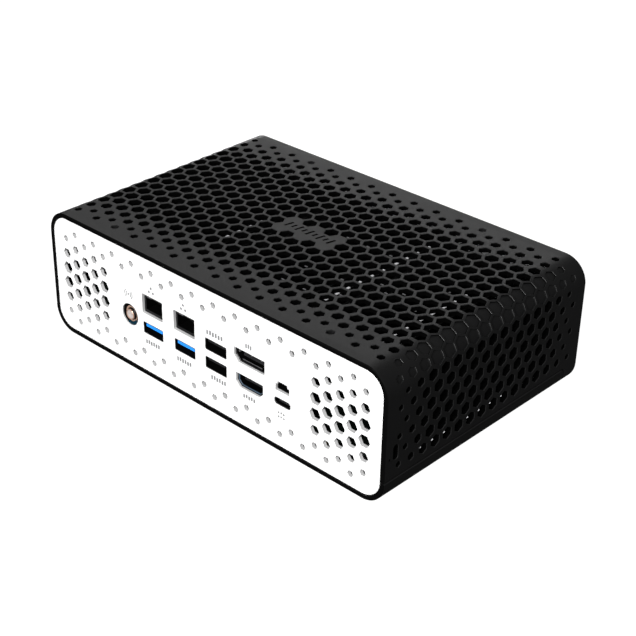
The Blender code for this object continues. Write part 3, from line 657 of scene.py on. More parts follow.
class Paintbox:
    """Every finish of the mini PC, made when it is first asked for."""

    FINISHES = (
        Finish("hood_black", grey(0.0030, 0.0001), grey(0.0045, 0.0002), 0.46, dust=0.002),
        # Lighter copy of the hood black for the chamfers of the hood and the tray: a painted
        # highlight along their edges.
        Finish("edge_highlight_black", grey(0.0065, 0.0002), grey(0.009, 0.0002), 0.46),
        # Darker, duller copy of the hood black for the walls of the vents, the engraving and the
        # lock slot: painted shade.
        Finish("wall_shade_black", grey(0.0006), grey(0.0009), 0.7, specular=0.02),
        # Darker copy of the hood black for the end faces of the hood and the tray: painted shade.
        Finish("end_shade_black", grey(0.0004), grey(0.0007), 0.7, specular=0.08),
        # Darker copy of the socket black deep in the cavities and in the gaps round the aerial:
        # painted shade.
        Finish("deep_socket_shade", grey(0.0006), grey(0.001), 0.6, specular=0.08),
        Finish("tray_black", grey(0.003, 0.0001), grey(0.0045, 0.0001), 0.5, specular=0.4),
        Finish("panel_white", grey(0.90), grey(0.87), 0.38, relief=SMOOTH_RELIEF, specular=0.3),
        Finish("panel_edge", grey(0.86), grey(0.82), 0.35, relief=SMOOTH_RELIEF, specular=0.3),
        # Greyer copy of the panel white for the walls and floors of its holes and openings: painted
        # shade.
        Finish("white_wall_shade", grey(0.58), grey(0.54), 0.45, relief=SMOOTH_RELIEF, specular=0.2),
        Finish("mark_grey", grey(0.19, 0.005), grey(0.24, 0.005), 0.6, relief=SMOOTH_RELIEF),
        Finish("socket_black", grey(0.003, 0.0005), grey(0.005, 0.0005), 0.45, specular=0.3),
        # Lighter than the socket black: a painted highlight on the cavity chamfers; on the tongues
        # it is their own dark grey.
        Finish("socket_edge", grey(0.012, 0.001), grey(0.020, 0.001), 0.4, specular=0.4),
        Finish("shell_steel", grey(0.06, 0.005), grey(0.10, 0.005), 0.35, metallic=0.9, lines=700),
        Finish("bright_steel", (0.55, 0.56, 0.58), (0.42, 0.43, 0.45), 0.3, metallic=1.0,
               lines=700),
        # Bluish grey, not metallic, on the chamfer of the video socket's shell: a painted
        # reflection of its steel rim.
        Finish("steel_rim_reflection", (0.055, 0.085, 0.12), (0.035, 0.06, 0.085), 0.55, specular=0.2,
               lines=700),
        # Glow lifts the blue tongues out of the shade of their sockets: painted light on a part
        # that gives none.
        Finish("tongue_blue", (0.018, 0.21, 0.74), (0.022, 0.25, 0.80), 0.45, glow=0.35,
               specular=0.3),
        Finish("tongue_black", grey(0.012, 0.001), grey(0.018, 0.001), 0.4, specular=0.5),
        Finish("contact_gold", (0.85, 0.62, 0.30), (0.78, 0.55, 0.26), 0.28, metallic=1.0,
               lines=900),
        Finish("socket_gold", (0.62, 0.42, 0.33), (0.42, 0.26, 0.19), 0.25, metallic=0.35,
               lines=900),
        Finish("pearl_insulator", (0.56, 0.50, 0.47), (0.42, 0.37, 0.35), 0.3),
        Finish("nut_teal", (0.003, 0.030, 0.050), (0.002, 0.020, 0.035), 0.3, metallic=0.1,
               lines=900),
        Finish("fin_black", grey(0.001), grey(0.002), 0.55, specular=0.12, lines=600),
        # Bright metal that also glows: painted glints seen through the top vents.
        Finish("fin_glint_glow", grey(0.80, 0.02), grey(0.62, 0.02), 0.25, metallic=1.0, lines=600,
               glow=0.50),
        # Grey metal that also glows: dimmer painted glints, on the fin ties and the display blades.
        Finish("dim_glint_glow", grey(0.40, 0.01), grey(0.30, 0.01), 0.3, metallic=1.0, lines=600,
               glow=0.20),
        # Bright metal that glows strongly: painted glints seen low in the side vents.
        Finish("contact_glint_glow", grey(0.80, 0.02), grey(0.70, 0.02), 0.25, metallic=1.0,
               lines=600, glow=0.9),
        Finish("copper", (0.78, 0.38, 0.22), (0.62, 0.28, 0.15), 0.3, metallic=1.0, lines=700),
        Finish("brass", (0.72, 0.52, 0.22), (0.60, 0.42, 0.17), 0.32, metallic=1.0, lines=700),
        Finish("rubber", grey(0.006), grey(0.010), 0.8, relief=0.00002),
        Finish("board", (0.003, 0.005, 0.004), (0.004, 0.007, 0.005), 0.5, specular=0.2, grain=900),
        Finish("module", (0.003, 0.010, 0.006), (0.004, 0.015, 0.009), 0.5, specular=0.2,
               grain=900),
        Finish("chip_black", grey(0.010, 0.001), grey(0.016, 0.001), 0.5),
        Finish("pad_grey", grey(0.28, 0.02), grey(0.34, 0.02), 0.85, relief=0.00003),
        Finish("lens_white", (0.75, 0.80, 0.85), (0.68, 0.74, 0.80), 0.25, glow=0.15,
               relief=SMOOTH_RELIEF),
        Finish("lens_grey", grey(0.10, 0.005), grey(0.13, 0.005), 0.35),
        Finish("lead_black", grey(0.010), grey(0.016), 0.45),
        Finish("drive_shell", grey(0.10, 0.01), grey(0.07, 0.01), 0.42, metallic=0.9, lines=500),
    )

    def __init__(self) -> None:
        """Prepares the shared effects."""
        self.effects = SurfaceEffects()
        self.known = {finish.name: finish for finish in self.FINISHES}
        self.made: dict[str, bpy.types.Material] = {}

    def get(self, name: str) -> bpy.types.Material:
        """The material of that name."""
        if name not in self.made:
            self.made[name] = self.known[name].build(self.effects)
        return self.made[name]


class Bench:
    """Turns finished meshes into pieces that ride on the frame."""

    def __init__(self, paint: Paintbox) -> None:
        """Keeps the paintbox and counts the pieces."""
        self.paint = paint
        self.count = 0

    def piece(
        self, name: str, bm: bmesh.types.BMesh, finishes: Sequence[str], slot: Slot,
        body: str = "case", stands_for: Sequence[str] = (), smooth: float = SMOOTH_ANGLE,
    ) -> bpy.types.Object:
        """Makes one piece from a mesh in millimetres.

        Args:
            name: the piece's name.
            bm: its mesh, which is freed.
            finishes: names of its materials, by material index.
            slot: the record's slot; not used.
            body: the body that it rides on.
            stands_for: CAD nodes that it replaces.
            smooth: faces that meet at less than this many degrees are shaded smooth.

        Returns:
            The object.
        """
        bmesh.ops.recalc_face_normals(bm, faces=bm.faces)
        bm.transform(Matrix.Scale(MM, 4))
        mesh = bpy.data.meshes.new(name)
        bm.to_mesh(mesh)
        bm.free()
        mesh.shade_smooth()
        mesh.set_sharp_from_angle(angle=math.radians(smooth))
        for finish in finishes:
            mesh.materials.append(self.paint.get(finish))
        made = bpy.data.objects.new(name, mesh)
        bpy.context.scene.collection.objects.link(made)
        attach(made, body)
        if stands_for:
            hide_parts(*stands_for)
        self.count += 1
        LOG.info("%s: %d faces on %s", name, len(mesh.polygons), body)
        return made

    def dress(self, nodes: dict[str, str]) -> None:
        """Gives CAD nodes that stay their finishes, as {node: finish}."""
        for node, finish in nodes.items():
            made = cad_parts[node]
            made.data.materials.clear()
            made.data.materials.append(self.paint.get(finish))
            made.data.shade_smooth()
            made.data.set_sharp_from_angle(angle=math.radians(SMOOTH_ANGLE))
            LOG.info("%s: keeps its CAD shape, in %s", node, finish)


# ---------------------------------------------------------------- casing


@dataclass(frozen=True)
class Box:
    """The outside of the casing, and the way round its section."""

    width: float = 204.0
    depth: float = 129.0
    height: float = 61.7
    corner: float = 11.4
    wall: float = 2.1
    seam: float = 12.2
    seam_end: float = 56.0
    seam_corner: float = 3.0
    gap: float = 0.3

    @property
    def flat(self) -> float:
        """Half the flat stretch of the top."""
        return self.width / 2 - self.corner

    @property
    def arc(self) -> float:
        """Length of one round corner."""
        return math.pi / 2 * self.corner

    @property
    def upright(self) -> float:
        """Length of the flat stretch of a side."""
        return self.height - 2 * self.corner

    @property
    def half_round(self) -> float:
        """The way from the middle of the top to the middle of the underside."""
        return 2 * self.flat + 2 * self.arc + self.upright

    def down_to(self, height: float) -> float:
        """The way from the middle of the top to a height on the side."""
        return self.flat + self.arc + (self.height - self.corner - height)

    def spot(self, way: float, y: float, depth: float) -> Vector:
        """The point at a way round the section from the middle of the top.

        Args:
            way: distance along the outside, positive towards +X.
            y: place along the box.
            depth: distance below the outside.

        Returns:
            The point, in millimetres above the floor.
        """
        side = -1.0 if way < 0 else 1.0
        rest = abs(way)
        if rest <= self.flat:
            x, z, out_x, out_z = rest, self.height, 0.0, 1.0
        elif rest <= self.flat + self.arc:
            angle = (rest - self.flat) / self.corner
            out_x, out_z = math.sin(angle), math.cos(angle)
            x = self.flat + self.corner * out_x
            z = self.height - self.corner + self.corner * out_z
        elif rest <= self.flat + self.arc + self.upright:
            x, out_x, out_z = self.width / 2, 1.0, 0.0
            z = self.height - self.corner - (rest - self.flat - self.arc)
        elif rest <= self.flat + 2 * self.arc + self.upright:
            angle = (rest - self.flat - self.arc - self.upright) / self.corner
            out_x, out_z = math.cos(angle), -math.sin(angle)
            x = self.flat + self.corner * out_x
            z = self.corner + self.corner * out_z
        else:
            x, z, out_x, out_z = self.half_round - rest, 0.0, 0.0, -1.0
        return Vector((side * (x - out_x * depth), y, z - out_z * depth + LIFT))

    def corner_slices(self, steps: int, lower: bool) -> list[float]:
        """Ways round at which a plate is divided to go round the upper or lower corners."""
        start = self.flat + (self.arc + self.upright if lower else 0.0)
        right = [start + self.arc * k / steps for k in range(steps + 1)]
        return right + [-way for way in right]


BOX = Box()


def shade_end_faces(bm: bmesh.types.BMesh, material: int) -> None:
    """Gives the two end faces of a bent plate a darker material of their own, which paints shade on
    them.
    """
    bm.normal_update()
    for face in bm.faces:
        if abs(face.normal.y) > 0.55 and abs(face.calc_center_median().y) > BOX.depth / 2 - 0.4:
            face.material_index = material


@dataclass
class Hood:
    """The vented hood: top, round upper corners and sides in one bent plate."""

    rim: float = 0.35
    chamfer: float = 0.22
    last_top_column: int = 14
    first_side_column: int = 17
    last_side_column: int = 22
    corner_pitch: float = 5.85
    pocket_depth: float = 0.6
    boss_depth: float = 1.2
    engraving: float = 0.5
    top_sizes: tuple[Point, ...] = (
        (0.0, 6.95), (33.75, 6.95), (37.5, 6.5), (41.25, 6.0), (45.0, 5.4), (48.75, 4.7),
        (52.5, 3.6), (56.25, 3.7),
    )
    side_sizes: tuple[Point, ...] = (
        (0.0, 5.95), (37.5, 5.8), (41.25, 5.0), (45.0, 4.4), (48.75, 3.8), (52.5, 2.9),
        (56.25, 2.8),
    )
    pocket_sizes: tuple[Point, ...] = (
        (0.0, 7.3), (33.75, 7.3), (37.5, 6.9), (41.25, 6.3), (45.0, 5.7), (48.75, 4.9),
        (52.5, 3.9), (56.25, 3.8),
    )
    emblem_cells: tuple[tuple[int, float], ...] = (
        (-2, 3.75), (0, 3.75), (2, 3.75), (-2, -3.75), (0, -3.75), (2, -3.75), (1, 0.0), (-1, 0.0),
    )
    boss_cells: tuple[tuple[int, float], ...] = (
        (8, 56.25), (-8, 56.25), (10, -56.25), (-10, -56.25),
    )
    lock_columns: tuple[int, ...] = (20, 22)
    slot_y: float = -58.2
    slot_height: float = 24.5

    def way_of(self, columns: float) -> float:
        """Way round the section at a count of columns, which are closer at the corners."""
        side = -1.0 if columns < 0 else 1.0
        count = abs(columns)
        on_corner = min(count, self.first_side_column) - self.last_top_column
        way = min(count, self.last_top_column) * COLUMN
        way += max(0.0, on_corner) * self.corner_pitch
        way += max(0.0, count - self.first_side_column) * COLUMN
        return side * way

    def warped(self, loop: Loop) -> Loop:
        """Takes an outline from even columns to ways round the section."""
        return [(self.way_of(u / COLUMN), v) for u, v in loop]

    def cell(self, column: int, y: float) -> Cut | None:
        """The vent, pocket or boss at one place of the honeycomb, or None under the emblem."""
        if (column, y) in self.emblem_cells:
            return None
        count = abs(column)
        on_corner = self.last_top_column < count < self.first_side_column
        sizes = self.pocket_sizes if on_corner else self.side_sizes
        sizes = self.top_sizes if count <= self.last_top_column else sizes
        radius = graded(sizes, abs(y)) / 2
        u = column * COLUMN
        loop = self.warped(hexagon(u, y, radius))
        tile = self.warped(hexagon(u, y, TILE_RADIUS))
        beside_lock = column in self.lock_columns and y < self.slot_y + PITCH / 2
        # Material 2 paints shade on the walls of the vents, of the upper corner pockets and of the
        # cells beside the lock.
        if beside_lock:
            return Cut(loop, self.chamfer, wall_material=2)
        if on_corner:
            upper = count < self.first_side_column - 1
            return Cut(loop, 0.1, self.pocket_depth, tile, wall_material=2 if upper else 0)
        if (column, y) in self.boss_cells:
            return Cut(loop, self.chamfer, self.boss_depth, tile)
        return Cut(loop, self.chamfer, None, tile, wall_material=2)

    def honeycomb(self) -> list[Cut]:
        """Every cell of the top, the corners and both sides."""
        cuts = []
        for column in range(-self.last_side_column, self.last_side_column + 1):
            odd = column % 2 == 1
            rows = range(-7, 8) if odd else range(-8, 8)
            cuts += [self.cell(column, (k if odd else k + 0.5) * PITCH) for k in rows]
        return [cut for cut in cuts if cut]

    def emblem(self) -> list[Cut]:
        """A plain engraved row of slanted strokes in the middle of the top."""
        strokes = []
        for k in range(9):
            u = -12.6 + 3.15 * k
            low, high = (-1.9, 3.0) if k % 2 == 0 else (-0.9, 2.0)
            lean = 0.5 * (high - low) / 4.9
            stroke = [
                (u - lean - 0.6, low), (u - lean + 0.6, low),
                (u + lean + 0.6, high), (u + lean - 0.6, high),
            ]
            # Walls and floor of each stroke in material 2: painted shade.
            strokes.append(Cut(stroke, 0.0, self.engraving, wall_material=2, floor_material=2))
        return strokes

    def lock_slot(self) -> list[Cut]:
        """The lock slot near the rear of the +X side, and the small dot before it."""
        way = BOX.down_to(self.slot_height)
        slot = rounded(way - 3.45, way + 3.45, self.slot_y - 1.4, self.slot_y + 1.4, 1.35)
        dot = hexagon(BOX.down_to(22.4), self.slot_y - 3.6, 0.55)
        # The slot and the dot take material 2 on their walls and floors: painted shade.
        return [Cut(slot, 0.2, 1.9, None, 2, 2), Cut(dot, 0.0, 0.4, None, 2, 2)]

    def outline(self) -> Loop:
        """The hood rolled out flat: full ring at the front end, open below the seam."""
        half = BOX.half_round
        seam_way = BOX.down_to(BOX.seam + BOX.gap / 2)
        end = BOX.depth / 2
        step_y = BOX.seam_end + BOX.gap / 2
        radius = BOX.seam_corner
        right = [(half, end), (half, step_y)]
        centre = (seam_way + radius, step_y - radius)
        right += [polar(*centre, radius, math.pi / 2 + k * math.pi / 12) for k in range(7)]
        right.append((seam_way, -end))
        left = [(-u, v) for u, v in reversed(right)]
        return list(reversed(right + left))

    def build(self, bench: Bench) -> None:
        """Draws, cuts and bends the hood."""
        plate = Plate(self.outline(), BOX.wall, self.rim, seam=BOX.half_round)
        for cut in self.honeycomb() + self.emblem() + self.lock_slot():
            plate.cut(cut)
        plate.close()
        plate.slice(BOX.corner_slices(16, lower=False))
        plate.slice(BOX.corner_slices(12, lower=True))
        bm = plate.settle(BOX.spot)
        shade_end_faces(bm, 3)
        # Material 1 paints a highlight on the chamfers, 2 paints shade in the vents and pockets, 3
        # paints shade on the end faces.
        bench.piece(
            "hood_shell", bm, ("hood_black", "edge_highlight_black", "wall_shade_black", "end_shade_black"),
            Slot.BLACK_PLASTIC, stands_for=("hood",),
        )


@dataclass
class Tray:
    """The bottom tray, its feet and its thumbscrews."""

    rim: float = 0.3
    vent: float = 9.0
    foot_at: Point = (76.0, 45.0)
    foot_radius: float = 8.2
    screw_at: Point = (60.0, -52.0)
    groove_height: float = 10.9
    groove_ends: Point = (-64.0, 53.0)

    def spot(self, u: float, v: float, depth: float) -> Vector:
        """Bends the tray up both sides: u runs from the middle of the underside."""
        way = math.copysign(BOX.half_round - abs(u), u) if abs(u) > TINY else BOX.half_round
        return BOX.spot(way, v, depth)

    def outline(self) -> Loop:
        """The tray rolled out flat."""
        reach = BOX.half_round - BOX.down_to(BOX.seam - BOX.gap / 2)
        front = BOX.seam_end - BOX.gap / 2
        rear = -BOX.depth / 2
        radius = BOX.seam_corner
        centre = (reach - radius, front - radius)
        right = [(reach, rear)] + [polar(*centre, radius, k * math.pi / 12) for k in range(7)]
        return right + [(-u, v) for u, v in reversed(right)]

    def cuts(self) -> list[Cut]:
        """Vents, screw holes, foot recesses and the groove along the seam."""
        cuts = []
        for column in range(1, 6):
            rows = (-30.0, -15.0, 0.0, 15.0, 30.0) if column % 2 else (-22.5, -7.5, 7.5, 22.5)
            cuts += [Cut(hexagon(column * 2 * COLUMN, y, self.vent / 2), 0.25) for y in rows]
        for side in (-1, 1):
            cuts.append(Cut(circle(side * self.screw_at[0], self.screw_at[1], 1.9, 24), 0.2))
            for end in (-1, 1):
                foot = (side * self.foot_at[0], end * self.foot_at[1])
                cuts.append(Cut(circle(*foot, self.foot_radius + 0.3, 40), 0.15, 0.8))
            at = side * (BOX.half_round - BOX.down_to(self.groove_height))
            low, high = at - 0.08, at + 0.08
            rear, front = self.groove_ends
            cuts.append(Cut([(low, rear), (high, rear), (high, front), (low, front)], 0.0, 0.3))
        return cuts

    def build(self, bench: Bench) -> None:
        """Draws and bends the tray, then adds what is on it."""
        plate = Plate(self.outline(), BOX.wall, self.rim)
        for cut in self.cuts():
            plate.cut(cut)
        plate.close()
        start = BOX.flat
        plate.slice([side * (start + BOX.arc * k / 12) for k in range(13) for side in (-1, 1)])
        bm = plate.settle(self.spot)
        shade_end_faces(bm, 2)
        # Material 1 paints a highlight on the chamfers and 2 paints shade on the end faces.
        bench.piece(
            "tray_shell", bm, ("tray_black", "edge_highlight_black", "end_shade_black"), Slot.BLACK_PLASTIC,
            stands_for=("bottom_tray",),
        )
        self.feet(bench)
        self.thumbscrews(bench)

    def feet(self, bench: Bench) -> None:
        """Four turned rubber feet with a grooved sole."""
        profile = [
            (0.0, 0.5), (8.0, 0.5), (8.2, 0.3), (8.15, -1.2), (7.95, -1.4), (7.95, -1.7),
            (8.1, -1.9), (7.75, -5.5), (7.5, -6.0), (7.05, -6.3), (6.0, -6.3), (5.75, -5.9),
            (5.25, -5.9), (5.0, -6.3), (3.6, -6.3), (3.35, -5.9), (2.85, -5.9), (2.6, -6.3),
            (1.2, -6.3), (0.9, -5.8), (0.0, -5.8),
        ]
        for end, end_name in ((-1, "rear"), (1, "front")):
            for side, side_name in ((-1, "left"), (1, "right")):
                name = f"foot_{end_name}_{side_name}"
                foot = spun(profile, (side * self.foot_at[0], end * self.foot_at[1], 0.0), steps=48)
                bench.piece(f"rubber_{name}", foot, ("rubber",), Slot.RUBBER, stands_for=(name,))

    def thumbscrews(self, bench: Bench) -> None:
        """Two knurled screws with a driver slot."""
        for side, name in ((-1, "left"), (1, "right")):
            at = (side * self.screw_at[0], self.screw_at[1], 0.0)
            screw = merged([self.screw_head(at), self.screw_shaft(at)])
            bench.piece(
                f"knurled_screw_{name}", screw, ("bright_steel",), Slot.STEEL,
                f"thumbscrew_{name}_body", (f"thumbscrew_{name}",), smooth=20.0,
            )

    @staticmethod
    def screw_head(at: Sequence[float]) -> bmesh.types.BMesh:
        """The knurled head: a slotted underside and a ribbed rim."""
        steps = 72
        outline = [
            polar(at[0], at[1], 4.55 if k % 2 else 4.25, k * math.tau / steps)
            for k in range(steps)
        ]
        slot = rounded(at[0] - 3.6, at[0] + 3.6, at[1] - 0.6, at[1] + 0.6, 0.3, 2)
        return drawn_plate(outline, 4.2, 0.35, [Cut(slot, 0.12, 1.0)], under_spot(-4.6))

    @staticmethod
    def screw_shaft(at: Sequence[float]) -> bmesh.types.BMesh:
        """The shaft, with rings for its thread."""
        profile: Loop = [(0.0, -0.45), (1.5, -0.45), (1.5, 2.4)]
        for k in range(11):
            height = 2.6 + k * 0.5
            profile += [(1.22, height), (1.48, height + 0.25)]
        profile += [(1.1, 8.4), (0.8, 8.8), (0.0, 8.8)]
        return spun(profile, at, steps=28)


# ---------------------------------------------------------------- ports


@dataclass(frozen=True)
class Tongue:
    """The contact tongue of a socket: its edges, where it starts, and its contacts."""

    edges: tuple[float, float, float, float]
    start: float
    end: float
    finish: str
    contacts: int
    underneath: bool = True


@dataclass(frozen=True)
class Socket:
    """One connector behind its opening in an end panel."""

    name: str
    node: str
    opening: Loop
    start: float
    ring: float
    depth: float
    slot: Slot
    ring_finish: str = "socket_black"
    edge_finish: str = "socket_edge"
    edge: float = 0.1
    inner_finish: str = "deep_socket_shade"
    tongues: tuple[Tongue, ...] = ()
    more_nodes: tuple[str, ...] = ()
    clearance: float = 0.05

    def build(self, bench: Bench, side: Side, face: float) -> None:
        """Makes the shell with its cavity, then each tongue with its contacts.

        Args:
            bench: takes the pieces.
            side: the end that the socket is at.
            face: distance of that end's panel face from the middle.
        """
        shell = grown(self.opening, -self.clearance)
        cavity = grown(self.opening, -self.clearance - self.ring)
        spot = end_spot(side, face - self.start)
        # The cavity's chamfer takes material 1, a painted highlight, and its walls and floor
        # material 2, painted shade.
        cut = Cut(cavity, self.edge, self.depth, wall_material=2, floor_material=2)
        bm = drawn_plate(shell, self.depth + 1.0, 0.04, [cut], spot)
        finishes = (self.ring_finish, self.edge_finish, self.inner_finish)
        bench.piece(f"{self.name}_shell", bm, finishes, self.slot, stands_for=(self.node,))
        for number, tongue in enumerate(self.tongues):
            suffix = f"_{number + 1}" if len(self.tongues) > 1 else ""
            node = self.more_nodes[number:number + 1]
            u0, u1, v0, v1 = tongue.edges
            length = tongue.end - tongue.start
            place = end_spot(side, face - tongue.start)
            bm = slab(tongue.edges, 0.18, 2, length, 0.12, place)
            slot = Slot.BLUE_PLASTIC if tongue.finish == "tongue_blue" else Slot.PORT_PLASTIC
            bench.piece(f"{self.name}_tongue{suffix}", bm, (tongue.finish,), slot, stands_for=node)
            pitch = (u1 - u0) / tongue.contacts
            low = v0 - 0.09 if tongue.underneath else v1 - 0.03
            place = end_spot(side, face - tongue.start - 0.5)
            strips = []
            for k in range(tongue.contacts):
                edges = (u0 + (k + 0.25) * pitch, u0 + (k + 0.75) * pitch, low, low + 0.12)
                strips.append(slab(edges, 0.03, 1, length - 1.2, 0.02, place))
            name = f"{self.name}_contacts{suffix}"
            bench.piece(name, merged(strips), ("contact_gold",), Slot.GOLD)


@dataclass
class EndPanel:
    """A white end panel with a honeycomb, rows of dots and its port openings."""

    side: Side
    wall: float = 1.7
    face: float = 64.24
    inset: float = 2.4
    rim: float = 0.18
    middle: float = 30.85
    finishes: tuple[str, ...] = ("panel_white", "panel_edge", "white_wall_shade")
    sizes: tuple[Point, ...] = (
        (0.0, 5.85), (3.75, 6.1), (7.5, 5.4), (11.25, 4.9), (15.0, 4.05), (18.75, 3.2), (22.5, 3.1),
    )

    def outline(self) -> Loop:
        """The panel's edge, which follows the casing."""
        half = BOX.width / 2 - self.inset
        top = BOX.height - self.inset
        return rounded(-half, half, self.inset, top, BOX.corner - self.inset, 12)

    def cell(self, column: int, offset: float, depth: float | None = None) -> Cut:
        """One hexagonal hole at a column and an offset from mid-height."""
        radius = graded(self.sizes, abs(offset)) / 2
        loop = hexagon(column * COLUMN, self.middle + offset, radius)
        # Walls and floor take material 2: painted shade in the hole.
        return Cut(loop, 0.06, depth, wall_material=2, floor_material=2)

    def dots(self, columns: Iterable[int], depth: float | None = None) -> list[Cut]:
        """The two rows of small holes along the top and the bottom."""
        cuts = []
        for column in columns:
            offset = 22.5 if column % 2 else 18.75
            cuts += [self.cell(column, offset, depth), self.cell(column, -offset, depth)]
        return cuts

    def cluster(self, columns: Iterable[int]) -> list[Cut]:
        """The block of vents at one end of the panel, without its dot rows."""
        cuts = []
        for column in columns:
            offsets = (-15.0, -7.5, 0.0, 7.5, 15.0) if column % 2 else (-11.25, -3.75, 3.75, 11.25)
            cuts += [self.cell(column, offset) for offset in offsets]
        return cuts

    def plate(self, cuts: Iterable[Cut]) -> bmesh.types.BMesh:
        """Draws the panel and stands it up."""
        spot = end_spot(self.side, self.face)
        return drawn_plate(self.outline(), self.wall, self.rim, cuts, spot)


@dataclass
class RearEnd:
    """The rear panel with its ports, aerial socket and marks."""

    panel: EndPanel
    antenna_at: Point = (-47.6, 27.3)
    entry: float = 0.25
    wire_pitch: float = 1.02

    def opened(self, edges: Sequence[float], radius: float = 0.5) -> Loop:
        """A box-shaped opening, eased a little on its left and below."""
        return rounded(edges[0] - self.entry, edges[1], edges[2] - self.entry, edges[3], radius, 3)

    def sockets(self) -> list[Socket]:
        """Every connector of the rear end."""
        made = []
        for name, x in (("left", -38.4), ("right", -17.8)):
            # The blue tongues glow: painted light.
            tongue = Tongue((x + 0.7, x + 11.7, 25.05, 26.95), 0.8, 12.0, "tongue_blue", 5)
            made.append(Socket(
                f"blue_usb_{name}", f"usb_blue_{name}_shell",
                self.opened((x, x + 12.7, 22.2, 27.6)), 0.03, 0.35, 13.0, Slot.STEEL,
                tongues=(tongue,), more_nodes=(f"usb_blue_{name}_tongue",),
            ))
        for name, z in (("upper", 30.7), ("lower", 21.7)):
            tongue = Tongue((2.2, 12.4, z + 3.35, z + 4.7), 0.9, 12.0, "tongue_black", 4)
            made.append(Socket(
                f"black_usb_{name}", "usb_black_stack_shell",
                self.opened((1.6, 14.3, z, z + 5.4)), 0.03, 0.35, 13.0, Slot.STEEL,
                tongues=(tongue,), more_nodes=(f"usb_black_{name}_tongue",),
            ))
        display = Tongue((22.5, 34.4, 35.4, 36.9), 2.2, 10.0, "socket_edge", 10)
        made.append(Socket(
            "display_socket", "display_port",
            grown(cornered(19.2, 36.5, 32.9, 39.0, 2.4, 0.0), 0.2), 1.0, 0.6, 11.0,
            Slot.PORT_PLASTIC, tongues=(display,),
        ))
        video = Tongue((22.8, 33.2, 23.9, 25.4), 2.4, 10.0, "socket_edge", 10)
        made.append(Socket(
            "video_socket", "video_port",
            grown(cornered(20.2, 35.6, 21.0, 27.1, 2.2, 2.0), 0.2), 1.05, 0.95, 11.0,
            # Its chamfer carries a painted reflection of the steel rim.
            Slot.PORT_PLASTIC, edge_finish="steel_rim_reflection", edge=0.3, tongues=(video,),
        ))
        small = Tongue((44.2, 50.0, 23.7, 24.4), 0.9, 6.0, "socket_edge", 8)
        made.append(Socket(
            "power_socket", "usb_c_power_port",
            rounded(42.35, 51.5, 22.4, 25.7, 1.3, 5), 0.03, 0.45, 7.0,
            Slot.STEEL, edge=0.2, tongues=(small,),
        ))
        mini = Tongue((45.0, 48.9, 31.0, 31.8), 2.4, 8.0, "socket_edge", 6)
        made.append(Socket(
            "mini_display_socket", "mini_display_port",
            grown(stepped(43.2, 50.5, 29.3, 33.3, 32.0, 1.1), 0.2), 1.2, 0.3, 8.0,
            Slot.PORT_PLASTIC, tongues=(mini,),
        ))
        return made

    def lan_openings(self) -> list[Loop]:
        """The openings of the two network jacks."""
        return [self.opened((x, x + 13.0, 32.2, 41.5)) for x in (-38.7, -18.2)]

    def build(self, bench: Bench) -> None:
        """Makes the panel, then its sockets, aerial connector and marks."""
        sockets = self.sockets()
        loops = self.lan_openings() + [socket.opening for socket in sockets]
        loops.append(circle(*self.antenna_at, 5.25, 48))
        # Walls of the openings in material 2: painted shade.
        cuts = [Cut(loop, 0.06, wall_material=2) for loop in loops]
        cuts += self.panel.dots(range(-LAST_PANEL_COLUMN, LAST_PANEL_COLUMN + 1))
        cuts += self.panel.cluster(range(FIRST_VENT_COLUMN, LAST_PANEL_COLUMN + 1))
        cuts += self.panel.cluster(range(-LAST_PANEL_COLUMN, 1 - FIRST_VENT_COLUMN))
        bench.piece(
            "rear_plate", self.panel.plate(cuts), self.panel.finishes, Slot.WHITE_PLASTIC,
            stands_for=("rear_panel",),
        )
        for socket in sockets:
            socket.build(bench, Side.REAR, self.panel.face)
        self.network_jacks(bench)
        self.display_fittings(bench)
        self.aerial(bench)
        self.marks(bench)

    def network_jacks(self, bench: Bench) -> None:
        """The two network jacks: a black face, a keyed cavity and eight sprung wires."""
        for name, loop in zip(("left", "right"), self.lan_openings()):
            u0, v0 = min(p[0] for p in loop), min(p[1] for p in loop)
            u1, v1 = max(p[0] for p in loop), max(p[1] for p in loop)
            middle = (u0 + u1) / 2
            left, right, low, high = u0 + 1.1, u1 - 0.7, v0 + 1.4, v1 - 2.2
            key_left, key_right, key_top = middle - 2.2, middle + 2.2, v1 - 1.9
            cavity = [
                (left, low), (right, low), (right, high), (key_right, high),
                (key_right, key_top), (key_left, key_top), (key_left, high), (left, high),
            ]
            # The cavity's chamfer takes material 1, a painted highlight, and its walls and floor
            # material 2, painted shade.
            cut = Cut(cavity, 0.15, 18.0, wall_material=2, floor_material=2)
            outline = grown(loop, -0.05)
            face = self.panel.face - 1.3
            bm = drawn_plate(outline, 20.0, 0.15, [cut], end_spot(Side.REAR, face))
            bench.piece(
                f"network_jack_{name}", bm, ("socket_black", "socket_edge", "deep_socket_shade"),
                Slot.PORT_PLASTIC, stands_for=(f"lan_jack_{name}",),
            )
            wires = []
            for k in range(8):
                wire = middle - 3.9 + k * self.wire_pitch
                edges = (wire, wire + 0.45, v0 + 1.7, v0 + 2.1)
                wires.append(slab(edges, 0.08, 2, 7.0, 0.05, end_spot(Side.REAR, face - 9.5)))
            bench.piece(f"network_wires_{name}", merged(wires), ("contact_gold",), Slot.GOLD)
            edges = (middle - 4.4, middle - 1.6, v1 - 1.75, v1 - 1.25)
            lens = slab(edges, 0.15, 2, 0.6, 0.04, end_spot(Side.REAR, face + 0.05))
            bench.piece(f"network_light_{name}", lens, ("lens_grey",), Slot.LIGHT_LENS)

